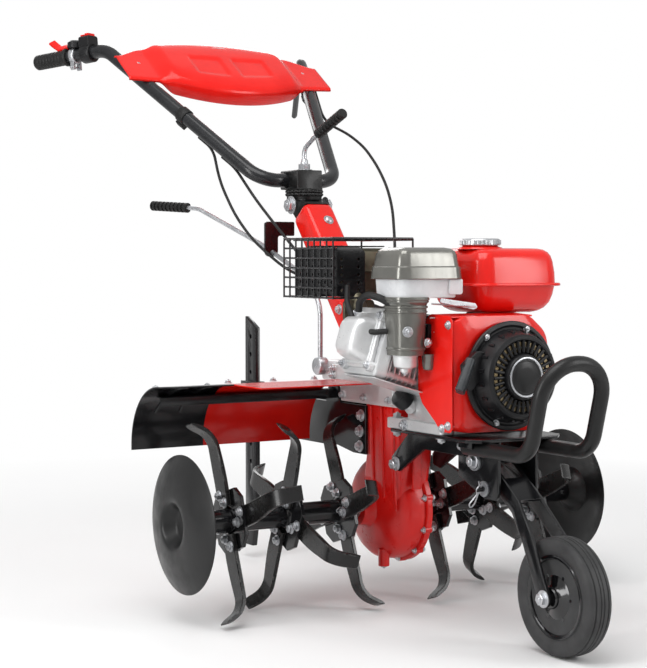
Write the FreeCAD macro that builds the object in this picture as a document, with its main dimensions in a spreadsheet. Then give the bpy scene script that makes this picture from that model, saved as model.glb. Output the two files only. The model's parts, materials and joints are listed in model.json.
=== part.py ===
"""Walk-behind garden tiller: a side-shaft petrol engine over a chain case, two tine reels,
a front transport wheel, fenders, a depth stake and a swivelling handlebar.

Millimetres, +Z up, -Y forwards, +X to the machine's left. Inside this file Y is measured
from the tine shaft and Z from the floor; every finished piece is then moved along Y so
that the origin lies on the floor, midway along the machine.
"""
import FreeCAD, Part
import Sketcher
import math
import os
import re
from FreeCAD import Placement, Rotation, Vector

doc = FreeCAD.newDocument("garden_tiller")
sheet = doc.addObject("Spreadsheet::Sheet", "sizes")

SIZES = {
    # tine shaft and reels
    "reel_height": 187,         # tine shaft's axis above the floor
    "journal_radius": 17,       # round part of the shaft, in the chain case
    "journal_gap": 0.1,
    "hex_radius": 13.5,         # corner radius of the shaft's hexagonal ends
    "shaft_reach": 170,         # half the shaft's length
    "hub_start": 80,            # inner end of a reel's tube
    "hub_end": 405,
    "hub_radius": 22,
    "hub_bore": 14,
    "flange_first": 110,        # first flange's middle plane, from the centre plane
    "flange_pitch": 119,
    "flange_side": 112,
    "flange_corner": 20,
    "flange_thickness": 8,
    "pin_place": 94,            # reel pin, from the centre plane
    "pin_radius": 4,
    "tine_width": 40,
    "tine_tip_width": 28,
    "tine_thickness": 8,
    "tine_root": 27,
    "tine_straight": 155,       # where the bend starts, from the shaft's axis
    "tine_bend_radius": 28,
    "tine_bend_angle": 62,
    "tine_blade": 34,
    "tine_lag": 3.5,            # degrees by which a tip trails its shank
    "tine_contact": 21,         # degrees from straight down to the tips that stand on the floor
    # side discs
    "disc_plane": 448,
    "disc_radius": 128,
    "disc_bulge": 22,
    "disc_curve": 190,
    "disc_sheet": 2.5,
    "cup_radius": 40,
    "cup_depth": 24,
    "disc_stub": 45,
    # chain case
    "case_radius": 100,
    "case_half": 40,
    "case_flange": 8,           # how far the bolted rim stands out
    "boss_radius": 33,
    "boss_reach": 72,
    "case_rib": 9,
    "case_lug": 8,              # radius of the bosses for the case's bolts
    "neck_half": 44,
    "neck_front": -102,
    "neck_rear": 10,
    "neck_top": 392,
    # engine bed and wheel bracket
    "bed_top": 362,
    "bed_sheet": 6,
    "bed_half": 104,
    "bed_front": -425,
    "bed_rear": -140,
    "rail_depth": 34,
    "bar_sheet": 6,
    "bracket_front": -420,
    "bracket_rear": -300,
    "bracket_bottom": 252,
    # front wheel
    "wheel_y": -545,
    "wheel_radius": 102.5,
    "tyre_half": 25,
    "rim_radius": 68,
    "axle_radius": 8,
    "axle_gap": 0.1,
    "hub_half": 31,
    "fork_pivot_y": -352,
    "fork_pivot_z": 316,
    "lock_reach": 50,           # lock pin, along the arms from the pivot
    "fork_knee_y": -477,
    "fork_knee_z": 221,
    "fork_top_half": 22,
    "fork_foot_half": 37,
    "fork_width": 30,
    "pivot_radius": 8,
    "lock_radius": 5,
    "washer_radius": 16,
    # bumper
    "bumper_tube": 13.5,
    "bumper_half": 66,
    "bumper_root_y": -395,
    "bumper_bend_y": -535,
    "bumper_top_y": -577,
    "bumper_top_z": 500,
    # engine
    "crank_z": 469,
    "engine_rear": -181,
    "case_front": -345,
    "case_width": 85,
    "foot_half": 102,
    "foot_height": 18,
    "filler_radius": 12,
    "cylinder_y": -226,
    "cylinder_tilt": 17,
    "fin_side": 124,
    "fin_count": 7,
    "fin_pitch": 11,
    "head_half": 57,            # half the cylinder head's length along the crank
    "head_start": 178,
    "head_end": 204,
    "valve_end": 250,
    "handle_radius": 9,
    "starter_nose": -443,
    "shroud_front": -385,
    "shroud_left": 96,
    "shroud_right": -120,
    "tank_front": -354,
    "tank_rear": -182,
    "tank_right": -36,
    "tank_left": 152,
    "tank_seam": 628,
    "tank_top": 700,
    "tank_bottom": 576,
    "cap_x": 25,
    "cap_y": -288,
    "cap_radius": 33,
    "cap_bottom": 705,
    "cap_top": 712,
    "tank_corner": 34,
    "cleaner_left": -63,
    "cleaner_right": -193,
    "cleaner_front": -339,
    "cleaner_rear": -235,
    "cleaner_bottom": 643,
    "cleaner_top": 706,
    "cleaner_rim": 672,         # where the cap meets the clear band
    "cleaner_corner": 22,
    "duct_left": -126,
    "duct_right": -190,
    "duct_front": -335,
    "duct_bottom": 505,
    "hose_radius": 6.5,
    "bowl_x": -163,
    "bowl_y": -306,
    "bowl_radius": 21,
    "bowl_bottom": 482,
    "muffler_right": -215,
    "muffler_left": -82,
    "muffler_front": -162,
    "muffler_rear": -24,
    "muffler_bottom": 610,
    "muffler_top": 694,
    "cage_right": -235,
    "cage_left": -62,
    "cage_front": -180,
    "cage_rear": -4,
    "cage_bottom": 604,
    "cage_top": 712,
    "cage_wire": 2,
    # upper gearbox and column
    "box_half": 52,
    "box_front": -112,
    "box_rear": 88,
    "box_shelf": 430,
    "box_tail": 160,
    "box_top": 470,
    "column_width": 70,
    "column_depth": 54,
    "column_lean": 39,
    "column_foot_y": 72,
    "column_length": 368,
    "swivel_y": 318,
    "swivel_z": 812,
    "swivel_radius": 37,
    "swivel_gap": 0.3,
    "swivel_teeth": 24,
    # fenders and hitch
    "fender_inner": 72,
    "fender_joint": 315,
    "fender_outer": 468,
    "fender_top": 437,
    "fender_front": -60,
    "wing_front": 46,
    "fender_bend": 60,
    "fender_arc": 118,
    "fender_sheet": 2.5,
    "fender_skirt": 10,
    "stay_radius": 10,
    "stay_angle": 35,
    "hitch_front": 125,
    "hitch_rear": 255,
    "hitch_bottom": 305,
    "hitch_top": 388,
    "hitch_ear": 426,
    "drawbar_half": 20,
    "drawbar_z": 366,
    "stake_y": 545,
    "stake_width": 46,
    "stake_thickness": 12,
    "stake_gap": 0.4,
    "stake_top": 545,
    "stake_bottom": 30,
    "stake_hole": 5,
    "stake_pitch": 40,
    # handlebar
    "bar_radius": 15,
    "bar_wall": 2,
    "bar_y": 344,
    "bar_z": 839,
    "bar_corner_x": 92,
    "bar_slope": 35.8,
    "bar_bend_x": 253,
    "bar_bend_y": 766,
    "bar_end_out": 91,          # end of a grip from the bend before it: out, back, down
    "bar_end_back": 180,
    "bar_end_down": 17.35,
    "bar_turn": 58,
    "grip_radius": 17.5,
    "grip_length": 95,
    "grip_cap": 3,              # rubber beyond the tube's end
    "panel_low": 362,           # panel's edges, up the arms from the bar's lower corner
    "panel_high": 499,
    "panel_belly": 57,          # how far the middle of each edge bulges
    "panel_crown": 32,
    "panel_reach": 172,
    "panel_tab": 88,
    "panel_sheet": 3,
    "panel_rise": 22,
    "panel_field": 4,           # depth of the two sunk fields
    "lever_radius": 5,
    "lever_grip": 11,
    "clutch_radius": 7,
    "cable_radius": 3,
}

for row, (alias, value) in enumerate(SIZES.items(), start=1):
    sheet.set(f"A{row}", alias)
    sheet.set(f"B{row}", str(value))
    sheet.setAlias(f"B{row}", alias)
doc.recompute()


def mm(expression):
    """The value now of an expression over the sheet's names."""
    return float(sheet.evalExpression(str(expression)))


def bound(expression):
    """The same expression as another object of the document writes it."""
    return re.sub(r"[a-z][a-z_]+", lambda m: "sizes." + m[0] if m[0] in SIZES else m[0],
                  str(expression))


def bind(item, **expressions):
    """Bind properties to the sheet; a double underscore stands for a dot."""
    for name, expression in expressions.items():
        item.setExpression(name.replace("__", "."), bound(expression))


nodes = []
BAR_BEND_Z = "(bar_z + tan(bar_slope) * (bar_bend_y - bar_y))"
GRIP_RUN = "sqrt(bar_end_out^2 + bar_end_back^2 + bar_end_down^2)"
GRIP_REAR = (f"(bar_bend_y + bar_end_back + grip_cap * bar_end_back / {GRIP_RUN}"
             f" + grip_radius * sqrt(1 - (bar_end_back / {GRIP_RUN})^2))")
BACK_TO_ORIGIN = f"-(wheel_y - wheel_radius + {GRIP_REAR}) / 2"


def keep(item, label):
    """Name a finished piece and move it into the part's own frame."""
    item.Label = label
    bind(item, Placement__Base__y=f"{item.Placement.Base.y} + {BACK_TO_ORIGIN}")
    nodes.append(item)
    return item


# ---- sketched bodies ---------------------------------------------------------------------

NORMALS = {"XY_Plane": 1, "YZ_Plane": 1, "XZ_Plane": -1}


def sketch(body, plane, loops, place="0", shift=("0", "0")):
    """Closed loops on a body's own plane, moved to place along the plane's axis.

    A loop is ("circle", x, y, radius) or a list of corners (x, y). A third entry on a
    corner makes the edge that leaves it an arc of that radius, bulging to its left where
    the radius is written with a plus sign and to its right with a minus sign.
    """
    drawing = body.newObject("Sketcher::SketchObject", body.Name + "_sketch")
    support = next(f for f in body.Origin.OriginFeatures if f.Role == plane)
    drawing.AttachmentSupport = [(support, "")]
    drawing.MapMode = "FlatFace"
    sign = "" if NORMALS[plane] > 0 else "-"
    bind(drawing, AttachmentOffset__Base__z=f"{sign}({place})",
         AttachmentOffset__Base__x=shift[0], AttachmentOffset__Base__y=shift[1])
    for loop in loops:
        if loop[0] == "circle":
            draw_circle(drawing, *loop[1:])
        else:
            draw_loop(drawing, loop)
    return drawing


def hold_point(drawing, edge, point, x, y):
    """Hold a point of an edge at x, y, both bound to the sheet."""
    for kind, expression in (("DistanceX", x), ("DistanceY", y)):
        number = drawing.addConstraint(
            Sketcher.Constraint(kind, -1, 1, edge, point, mm(expression)))
        drawing.setExpression(f"Constraints[{number}]", bound(expression))


def draw_circle(drawing, x, y, radius):
    circle = Part.Circle(Vector(mm(x), mm(y), 0), Vector(0, 0, 1), mm(radius))
    edge = drawing.addGeometry(circle, False)
    hold_point(drawing, edge, 3, x, y)
    number = drawing.addConstraint(Sketcher.Constraint("Radius", edge, mm(radius)))
    drawing.setExpression(f"Constraints[{number}]", bound(radius))


def draw_loop(drawing, corners):
    points = [Vector(mm(c[0]), mm(c[1]), 0) for c in corners]
    ends = []
    for number, corner in enumerate(corners):
        start, end = points[number], points[(number + 1) % len(points)]
        if len(corner) == 2:
            edge = drawing.addGeometry(Part.LineSegment(start, end), False)
            ends.append((edge, 1, 2))
            continue
        radius = mm(corner[2])
        chord = end - start
        left = Vector(-chord.y, chord.x, 0).normalize() * (1 if radius > 0 else -1)
        drop = math.sqrt(max(radius ** 2 - (chord.Length / 2) ** 2, 0))
        centre = (start + end) * 0.5 - left * drop
        low, high = (end, start) if radius > 0 else (start, end)
        arc = Part.ArcOfCircle(Part.Circle(centre, Vector(0, 0, 1), abs(radius)),
                               math.atan2(low.y - centre.y, low.x - centre.x),
                               math.atan2(high.y - centre.y, high.x - centre.x))
        edge = drawing.addGeometry(arc, False)
        ends.append((edge, 2, 1) if radius > 0 else (edge, 1, 2))
        number = drawing.addConstraint(Sketcher.Constraint("Radius", edge, abs(radius)))
        drawing.setExpression(f"Constraints[{number}]", bound(f"abs({corner[2]})"))
    for number in range(len(corners)):
        edge, _, last = ends[number]
        following, start, _ = ends[(number + 1) % len(corners)]
        drawing.addConstraint(Sketcher.Constraint("Coincident", edge, last, following, start))
    for (edge, start, _), corner in zip(ends, corners):
        hold_point(drawing, edge, start, corner[0], corner[1])


def new_body(name):
    return doc.addObject("PartDesign::Body", name)


def pad(body, plane, loops, low, high, shift=("0", "0")):
    """Add the loops' area from low to high along the plane's axis."""
    place = low if NORMALS[plane] > 0 else high
    feature = body.newObject("PartDesign::Pad", body.Name + "_pad")
    feature.Profile = sketch(body, plane, loops, place, shift)
    bind(feature, Length=f"({high}) - ({low})")
    return feature


def pocket(body, plane, loops, low, high, shift=("0", "0")):
    """Take the loops' area away from low to high along the plane's axis."""
    place = high if NORMALS[plane] > 0 else low
    doc.recompute()
    before = body.Shape.Volume
    feature = body.newObject("PartDesign::Pocket", body.Name + "_pocket")
    feature.Profile = sketch(body, plane, loops, place, shift)
    bind(feature, Length=f"({high}) - ({low})")
    doc.recompute()
    if body.Shape.Volume >= before:
        raise ValueError(f"{feature.Name} cuts nothing")
    return feature


def revolve(body, plane, loops, axis="H_Axis", shift=("0", "0"), place="0"):
    feature = body.newObject("PartDesign::Revolution", body.Name + "_turned")
    feature.Profile = sketch(body, plane, loops, place, shift)
    feature.ReferenceAxis = (feature.Profile[0], [axis])
    feature.Angle = 360
    return feature


def rectangle(low_x, low_y, high_x, high_y):
    return [(low_x, low_y), (high_x, low_y), (high_x, high_y), (low_x, high_y)]


# ---- primitives and booleans -------------------------------------------------------------

TURNS = {"x": Rotation(Vector(0, 1, 0), 90), "y": Rotation(Vector(1, 0, 0), -90),
         "z": Rotation()}


def put(item, x, y, z, along="z"):
    item.Placement = Placement(Vector(), TURNS[along])
    bind(item, Placement__Base__x=x, Placement__Base__y=y, Placement__Base__z=z)
    return item


def cylinder(name, radius, along, x, y, z, length):
    """A cylinder that starts at x, y, z and runs up the named axis."""
    item = doc.addObject("Part::Cylinder", name)
    bind(item, Radius=radius, Height=length)
    return put(item, x, y, z, along)


def box(name, low, high):
    """A box between two corners of expressions."""
    item = doc.addObject("Part::Box", name)
    bind(item, Length=f"({high[0]}) - ({low[0]})", Width=f"({high[1]}) - ({low[1]})",
         Height=f"({high[2]}) - ({low[2]})")
    return put(item, *low)


def fuse(name, items):
    item = doc.addObject("Part::MultiFuse", name)
    item.Shapes = items
    item.Refine = True
    return item


def cut(name, base, tools):
    item = doc.addObject("Part::Cut", name)
    item.Base = base
    item.Tool = tools[0] if len(tools) == 1 else fuse(name + "_tools", tools)
    item.Refine = True
    return item


def shaped(name, shape):
    """A piece whose shape is worked out by a function of this file."""
    item = doc.addObject("Part::Feature", name)
    item.Shape = shape
    return item


# ---- shapes that neither sketches nor primitives make ------------------------------------

def bend_arc(before, corner, after, radius):
    """Where a bend leaves and joins its straight runs, its centre and its turn."""
    back, ahead = (before - corner).normalize(), (after - corner).normalize()
    half = back.getAngle(ahead) / 2
    start, end = corner + back * (radius / math.tan(half)), corner + ahead * (
        radius / math.tan(half))
    centre = corner + (back + ahead).normalize() * (radius / math.sin(half))
    return start, end, centre, back, 180 - 2 * math.degrees(half)


def swept_rod(points, bends, radius):
    """A round bar of straight cylinders joined by parts of rings."""
    pieces, here = [], points[0]
    for before, corner, after, bend in zip(points, points[1:], points[2:], bends):
        start, end, centre, back, turn = bend_arc(before, corner, after, bend)
        if start.distanceToPoint(here) > 0.01:
            pieces.append(Part.makeCylinder(radius, start.distanceToPoint(here), here,
                                            start - here))
        section = Part.Face(Part.Wire(Part.Circle(start, back, radius).toShape()))
        pieces.append(section.revolve(centre, (start - centre).cross(back * -1), turn))
        here = end
    last = points[-1]
    pieces.append(Part.makeCylinder(radius, last.distanceToPoint(here), here, last - here))
    return pieces[0].fuse(pieces[1:]).removeSplitter() if len(pieces) > 1 else pieces[0]


def swept_tube(points, bends, radius, wall):
    return swept_rod(points, bends, radius).cut(swept_rod(points, bends, radius - wall))


def rounded_wire(corners, level, plane="XY"):
    """A closed outline at a level across a plane, its corners (x, y, radius) rounded."""
    def lift(x, y):
        if plane == "XY":
            return Vector(x, y, level)
        return Vector(level, x, y) if plane == "YZ" else Vector(x, level, y)

    edges, first, here = [], None, None
    for number, (x, y, radius) in enumerate(corners):
        before, after = corners[number - 1], corners[(number + 1) % len(corners)]
        corner = lift(x, y)
        if not radius:
            start = end = corner
        else:
            start, end, centre, _, _ = bend_arc(lift(*before[:2]), corner,
                                                lift(*after[:2]), radius)
            middle = centre + (corner - centre).normalize() * radius
        if here and here.distanceToPoint(start) > 0.01:
            edges.append(Part.LineSegment(here, start).toShape())
        if radius:
            edges.append(Part.Arc(start, middle, end).toShape())
        first, here = first or start, end
    if here.distanceToPoint(first) > 0.01:
        edges.append(Part.LineSegment(here, first).toShape())
    return Part.Wire(edges)


def sheet_piece(corners, low, high, plane):
    """A flat piece on a rounded outline, between two levels across its plane."""
    along = {"XY": Vector(0, 0, 1), "YZ": Vector(1, 0, 0), "XZ": Vector(0, 1, 0)}[plane]
    return Part.Face(rounded_wire(corners, low, plane)).extrude(along * (high - low))


def stack(low, high, layers, corner):
    """A moulded form through rounded rectangles at (height, inset) layers."""
    wires = []
    for level, inset in layers:
        a, b, c, d = low[0] + inset, low[1] + inset, high[0] - inset, high[1] - inset
        turn = max(corner - inset * 0.6, 3)
        wires.append(rounded_wire([(a, b, turn), (c, b, turn), (c, d, turn), (a, d, turn)],
                                  level))
    return Part.makeLoft(wires, True, True)


def mirrored(shape):
    """The same shape on the machine's other side."""
    return shape.mirror(Vector(), Vector(1, 0, 0))


def around_shaft(shape, degrees):
    turned = shape.copy()
    turned.rotate(Vector(), Vector(1, 0, 0), degrees)
    return turned


def prism(points, along):
    """A straight solid on a polygon."""
    return Part.Face(Part.makePolygon(points + points[:1])).extrude(along)


# ---- tine shaft, reels and discs ---------------------------------------------------------

def tip_radius():
    """Radius at which both rows of tips that point nearly down stand on the floor."""
    half_tip = math.degrees(math.asin(mm("tine_tip_width / 2 / reel_height")))
    return mm("reel_height") / math.cos(math.radians(mm("tine_contact") - half_tip))


def tine_shaft():
    shaft = new_body("tine_shaft_body")
    hexagon = [(f"hex_radius * cos({60 * n})", f"hex_radius * sin({60 * n})") for n in range(6)]
    pad(shaft, "YZ_Plane", [hexagon], "-shaft_reach", "shaft_reach", ("0", "reel_height"))
    pad(shaft, "YZ_Plane", [("circle", "0", "0", "journal_radius")],
        "-boss_reach - 3", "boss_reach + 3", ("0", "reel_height"))
    pins = [cylinder(f"reel_pin_{name}", "pin_radius", "y", f"{sign}pin_place",
                     "-hub_radius - 6", "reel_height", "2 * hub_radius + 12")
            for sign, name in (("-", "right"), ("", "left"))]
    return keep(fuse("tine_shaft", [shaft] + pins), "tine_shaft")


def tine_profile():
    """The tine's bent bar seen along the reel's circle, shank up and blade to +X."""
    thick = mm("tine_thickness")
    radius, turn = mm("tine_bend_radius"), math.radians(mm("tine_bend_angle"))
    straight, blade = mm("tine_straight"), mm("tine_blade")
    centre = Vector(thick / 2 + radius, 0, straight)
    ahead = Vector(math.sin(turn), 0, math.cos(turn)) * blade

    def on_bend(share, away):
        angle = turn * share
        return centre + Vector(-math.cos(angle), 0, math.sin(angle)) * (radius + away)

    outer = [on_bend(share, thick / 2) for share in (0, 0.5, 1)]
    inner = [on_bend(share, -thick / 2) for share in (0, 0.5, 1)]
    root = mm("tine_root")
    return Part.Face(Part.Wire([
        Part.LineSegment(Vector(0, 0, root), outer[0]).toShape(),
        Part.Arc(*outer).toShape(),
        Part.LineSegment(outer[2], outer[2] + ahead).toShape(),
        Part.LineSegment(outer[2] + ahead, inner[2] + ahead).toShape(),
        Part.LineSegment(inner[2] + ahead, inner[2]).toShape(),
        Part.Arc(inner[2], inner[1], inner[0]).toShape(),
        Part.LineSegment(inner[0], Vector(thick, 0, root)).toShape(),
        Part.LineSegment(Vector(thick, 0, root), Vector(0, 0, root)).toShape(),
    ]))


def tine():
    """One sabre tine, its shank along +Z from the shaft's axis and its blade bent to +X."""
    half, root, tip = mm("tine_width / 2"), mm("tine_root"), tip_radius()
    lag = math.radians(mm("tine_lag"))
    half_tip = math.asin(mm("tine_tip_width / 2 / reel_height"))
    waist = mm("tine_straight * 0.55")

    def at(angle, radius):
        return Vector(0, radius * math.sin(angle), radius * math.cos(angle))

    lead, trail = at(lag - half_tip, tip), at(lag + half_tip, tip)
    beyond = 1.1
    belly = Vector(0, half + 1, (waist + tip) * 0.5)
    hollow = Vector(0, -half + 7, (waist + tip) * 0.5)
    outline = Part.Face(Part.Wire([
        Part.LineSegment(Vector(0, -half, root), Vector(0, -half, waist)).toShape(),
        Part.Arc(Vector(0, -half, waist), hollow, lead).toShape(),
        Part.LineSegment(lead, lead * beyond).toShape(),
        Part.LineSegment(lead * beyond, trail * beyond).toShape(),
        Part.LineSegment(trail * beyond, trail).toShape(),
        Part.Arc(trail, belly, Vector(0, half, waist)).toShape(),
        Part.LineSegment(Vector(0, half, waist), Vector(0, half, root)).toShape(),
        Part.LineSegment(Vector(0, half, root), Vector(0, -half, root)).toShape(),
    ]))
    width = mm("tine_width") * 2
    bar = tine_profile().translate(Vector(0, -width / 2, 0)).extrude(Vector(0, width, 0))
    blank = outline.extrude(Vector(width * 2, 0, 0))
    reach = Part.makeCylinder(tip, width * 2, Vector(), Vector(1, 0, 0))
    return bar.common(blank).common(reach)


def flange():
    """A square plate with cut corners, its middle plane at X = 0."""
    half, corner = mm("flange_side / 2"), mm("flange_corner")
    thick = mm("flange_thickness")
    points = []
    for y, z in ((1, 1), (-1, 1), (-1, -1), (1, -1)):
        near = Vector(-thick / 2, y * half, z * (half - corner))
        far = Vector(-thick / 2, y * (half - corner), z * half)
        points += [near, far] if y * z > 0 else [far, near]
    return prism(points, Vector(thick, 0, 0))


def reel():
    """The left reel: a tube with three flanges of four tines, about the shaft's axis."""
    blade = tine()
    facing_in = mirrored(blade)
    step = mm("flange_thickness / 2")
    pieces = [Part.makeCylinder(mm("hub_radius"), mm("hub_end - hub_start"),
                                Vector(mm("hub_start"), 0, 0), Vector(1, 0, 0))]
    for number in range(3):
        place = Vector(mm("flange_first") + number * mm("flange_pitch"), 0, 0)
        middle = number == 1
        phase = mm("tine_contact + tine_lag") if middle else mm("tine_lag - tine_contact")
        pieces.append(around_shaft(flange(), phase).translate(place))
        for quarter in range(4):
            upright = quarter % 2 == 0
            outward = upright if number > 0 else not upright
            side, shift = (blade, step) if outward else (facing_in, -step)
            turned = around_shaft(side, phase + 90 * quarter)
            pieces.append(turned.translate(place + Vector(shift, 0, 0)))
    whole = pieces[0].fuse(pieces[1:])
    bore = Part.makeCylinder(mm("hub_bore"), mm("hub_end"), Vector(), Vector(1, 0, 0))
    pin = Part.makeCylinder(mm("pin_radius"), mm("4 * hub_radius"),
                            Vector(mm("pin_place"), mm("-2 * hub_radius"), 0), Vector(0, 1, 0))
    return whole.cut([bore, pin]).removeSplitter()


def reels():
    left = reel().translate(Vector(0, 0, mm("reel_height")))
    keep(shaped("tines_left", left), "tines_left")
    keep(shaped("tines_right", mirrored(left)), "tines_right")


def disc(side, sign):
    """A dished guard disc with a recessed cup, on a stub that fits in the reel's tube."""
    body = new_body(f"disc_{side}_body")
    crown = "disc_plane + disc_bulge"
    floor = "disc_plane + disc_bulge - cup_depth"
    turn = "+" if sign > 0 else "-"

    def at(x, z):
        return (x, z) if sign > 0 else (f"-({x})", z)

    plane, rim, lip = at("disc_plane", "disc_radius"), "cup_radius + 7", "cup_radius"
    loop = [plane + (f"{turn}disc_curve",),
            at(crown, rim),
            at(f"{crown} - 5", lip),
            at(floor, "cup_radius - 14"),
            at(floor, "0"),
            at("hub_end - disc_stub", "0"),
            at("hub_end - disc_stub", "hub_bore - 0.2"),
            at("hub_end", "hub_bore - 0.2"),
            at("hub_end", "hub_radius"),
            at(f"{floor} - disc_sheet", "hub_radius"),
            at(f"{floor} - disc_sheet", "cup_radius - 14 + disc_sheet"),
            at(f"{crown} - 5 - disc_sheet", "cup_radius + disc_sheet"),
            at(f"{crown} - disc_sheet", f"{rim}") + (f"{'-' if sign > 0 else ''}disc_curve",),
            at("disc_plane - disc_sheet", "disc_radius")]
    revolve(body, "XZ_Plane", [loop], "H_Axis", ("0", "reel_height"))
    return keep(body, f"disc_{side}")


# ---- chain case and upper gearbox --------------------------------------------------------

def gearcase():
    body = new_body("gearcase_body")
    bore = "journal_radius + journal_gap"
    turned = [("-boss_reach", bore), ("-boss_reach", "boss_radius - 3"),
              ("-boss_reach + 3", "boss_radius"), ("-neck_half - 2", "boss_radius + 4"),
              ("-case_half", "boss_radius + 26"), ("-case_half + 8", "case_radius - 10"),
              ("-case_half + 20", "case_radius"), ("24", "case_radius"), ("24", "case_radius + case_flange"),
              ("36", "case_radius + case_flange"), ("36", "case_radius - 4"), ("neck_half", "case_radius - 34"),
              ("neck_half + 2", "boss_radius + 4"), ("boss_reach - 3", "boss_radius"),
              ("boss_reach", "boss_radius - 3"), ("boss_reach", bore)]
    revolve(body, "XZ_Plane", [turned], "H_Axis", ("0", "reel_height"))
    half, front, rear = mm("neck_half"), mm("neck_front"), mm("neck_rear")
    axis, top = mm("reel_height"), mm("neck_top")
    foot = axis + mm("journal_radius") + 1

    def level(z, inset, ahead, behind, turn):
        wide = half - inset
        return rounded_wire([(-wide, ahead, turn), (wide, ahead, turn), (wide, behind, turn),
                             (-wide, behind, turn)], z)

    neck = Part.makeLoft([level(foot, 6, front + 18, rear + 30, 16),
                          level(axis + 53, 3, front + 10, rear + 20, 14),
                          level(axis + 103, 0, front, rear + 6, 12),
                          level(top, 0, front, rear, 10)], True, True)
    pieces = [neck]
    for y in (front + 20, front + 52, front + 88):
        for turn in (-1, 1):
            outline = [Vector(turn * x, y - mm("case_rib / 2"), z) for x, z in
                       ((half + 5, top - 2), (half - 2, axis + 27), (half - 9, axis + 24),
                        (half - 9, top - 2))]
            pieces.append(prism(outline, Vector(0, mm("case_rib"), 0)))
    lug = mm("case_lug")
    for angle in (-130, -95, -60, -20, 20, 165, 200):
        reach = Vector(15, math.cos(math.radians(angle)), math.sin(math.radians(angle)))
        place = Vector(15, reach.y * mm("case_radius + case_flange - 4"), axis + reach.z * mm("case_radius + case_flange - 4"))
        pieces.append(Part.makeCylinder(lug, 23, place, Vector(1, 0, 0)))
    pieces.append(Part.makeCylinder(lug + 3, 34, Vector(-26, -30, axis - mm("case_radius + case_flange") - 1)))
    extra = shaped("case_neck", pieces[0].fuse(pieces[1:]))
    return keep(fuse("gearcase", [body, extra]), "gearcase")


def upper_gearbox():
    body = new_body("upper_gearbox_body")
    side = [("box_front", "neck_top"), ("box_front", "box_top - 26"),
            ("box_front + 30", "box_top"), ("box_tail", "box_top"), ("box_tail", "box_shelf"),
            ("box_rear", "box_shelf"), ("box_rear", "neck_top")]
    pad(body, "YZ_Plane", [side], "-box_half", "box_half")
    pad(body, "XZ_Plane", [("circle", "0", "crank_z - 2", "68")], "engine_rear", "box_front")
    flange = cylinder("bell_flange", "76", "y", "0", "box_front - 10", "crank_z - 2", "10")
    half, low, high = mm("box_half"), mm("box_shelf"), mm("box_top")
    front, rear = mm("box_front"), mm("box_rear")
    face = [(front + 6, mm("neck_top") + 4, 6), (front + 6, high - 32, 14),
            (front + 34, high - 6, 10), (rear + 30, high - 6, 8), (rear + 30, low + 5, 8),
            (rear - 4, low + 4, 10), (rear - 8, mm("neck_top") + 4, 6)]
    bosses = [(front + 16, mm("neck_top") + 14), (front + 40, high - 16), (18, high - 14),
              (rear + 18, high - 14), (rear + 18, low + 15),
              (rear - 20, mm("neck_top") + 14), (-10, mm("neck_top") + 14)]
    pieces = []
    for start, along in ((half, Vector(1, 0, 0)), (-half, Vector(-1, 0, 0))):
        pieces.append(sheet_piece(face, start, start + along.x * 5, "YZ"))
        pieces += [Part.makeCylinder(7, 9, Vector(start, y, z), along) for y, z in bosses]
    covers = shaped("box_covers", pieces[0].multiFuse(pieces[1:]))
    return keep(fuse("upper_gearbox", [body, flange, covers]), "upper_gearbox")


# ---- engine bed, wheel bracket and bumper ------------------------------------------------

def engine_bed():
    plate = new_body("bed_plate")
    outline = [("-bed_half", "bed_front + 20"), ("-bed_half + 20", "bed_front"),
               ("bed_half - 20", "bed_front"), ("bed_half", "bed_front + 20"),
               ("bed_half", "bed_rear - 30"), ("neck_half", "bed_rear"),
               ("neck_half", "neck_front"), ("-neck_half", "neck_front"),
               ("-neck_half", "bed_rear"), ("-bed_half", "bed_rear - 30")]
    pad(plate, "XY_Plane", [outline], "bed_top - bed_sheet", "bed_top")
    under = "bed_top - bed_sheet"
    brace = [("bracket_rear - 25", under), ("bracket_rear - 25", f"{under} - rail_depth"),
             ("-200", f"{under} - rail_depth"), ("-118", "272"), ("-95", "277"), ("-92", "298"),
             ("-158", under)]
    pieces = [plate]
    for name, low, high in (("right", "-neck_half - bar_sheet", "-neck_half"),
                            ("left", "neck_half", "neck_half + bar_sheet")):
        rail = new_body(f"bed_rail_{name}")
        pad(rail, "YZ_Plane", [brace], low, high)
        inner = "-bumper_half - 18" if name == "right" else "bumper_half - 14"
        outer = "-bumper_half + 14" if name == "right" else "bumper_half + 18"
        saddle = box(f"bumper_saddle_{name}", (inner, "bumper_root_y", f"{under} - 13"),
                     (outer, "bumper_root_y + 40", under))
        middle = "-bumper_half" if name == "right" else "bumper_half"
        seat = cylinder(f"bumper_seat_{name}", "bumper_tube", "y", middle,
                        "bumper_root_y - 1", f"{under} - bumper_tube", "42")
        pieces += [rail, cut(f"bumper_clamp_{name}", saddle, [seat])]
    return keep(fuse("engine_bed", pieces), "engine_bed")


def lock_pin_place():
    """Centre of the lock pin, which lies against the rear edge of the fork's arms."""
    pivot = Vector(0, mm("fork_pivot_y"), mm("fork_pivot_z"))
    ahead = (Vector(0, mm("fork_knee_y"), mm("fork_knee_z")) - pivot).normalize()
    rearward = Vector(0, -ahead.z, ahead.y)
    away = mm("fork_width / 2 + lock_radius + swivel_gap")
    return pivot + ahead * mm("lock_reach") + rearward * away


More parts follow.
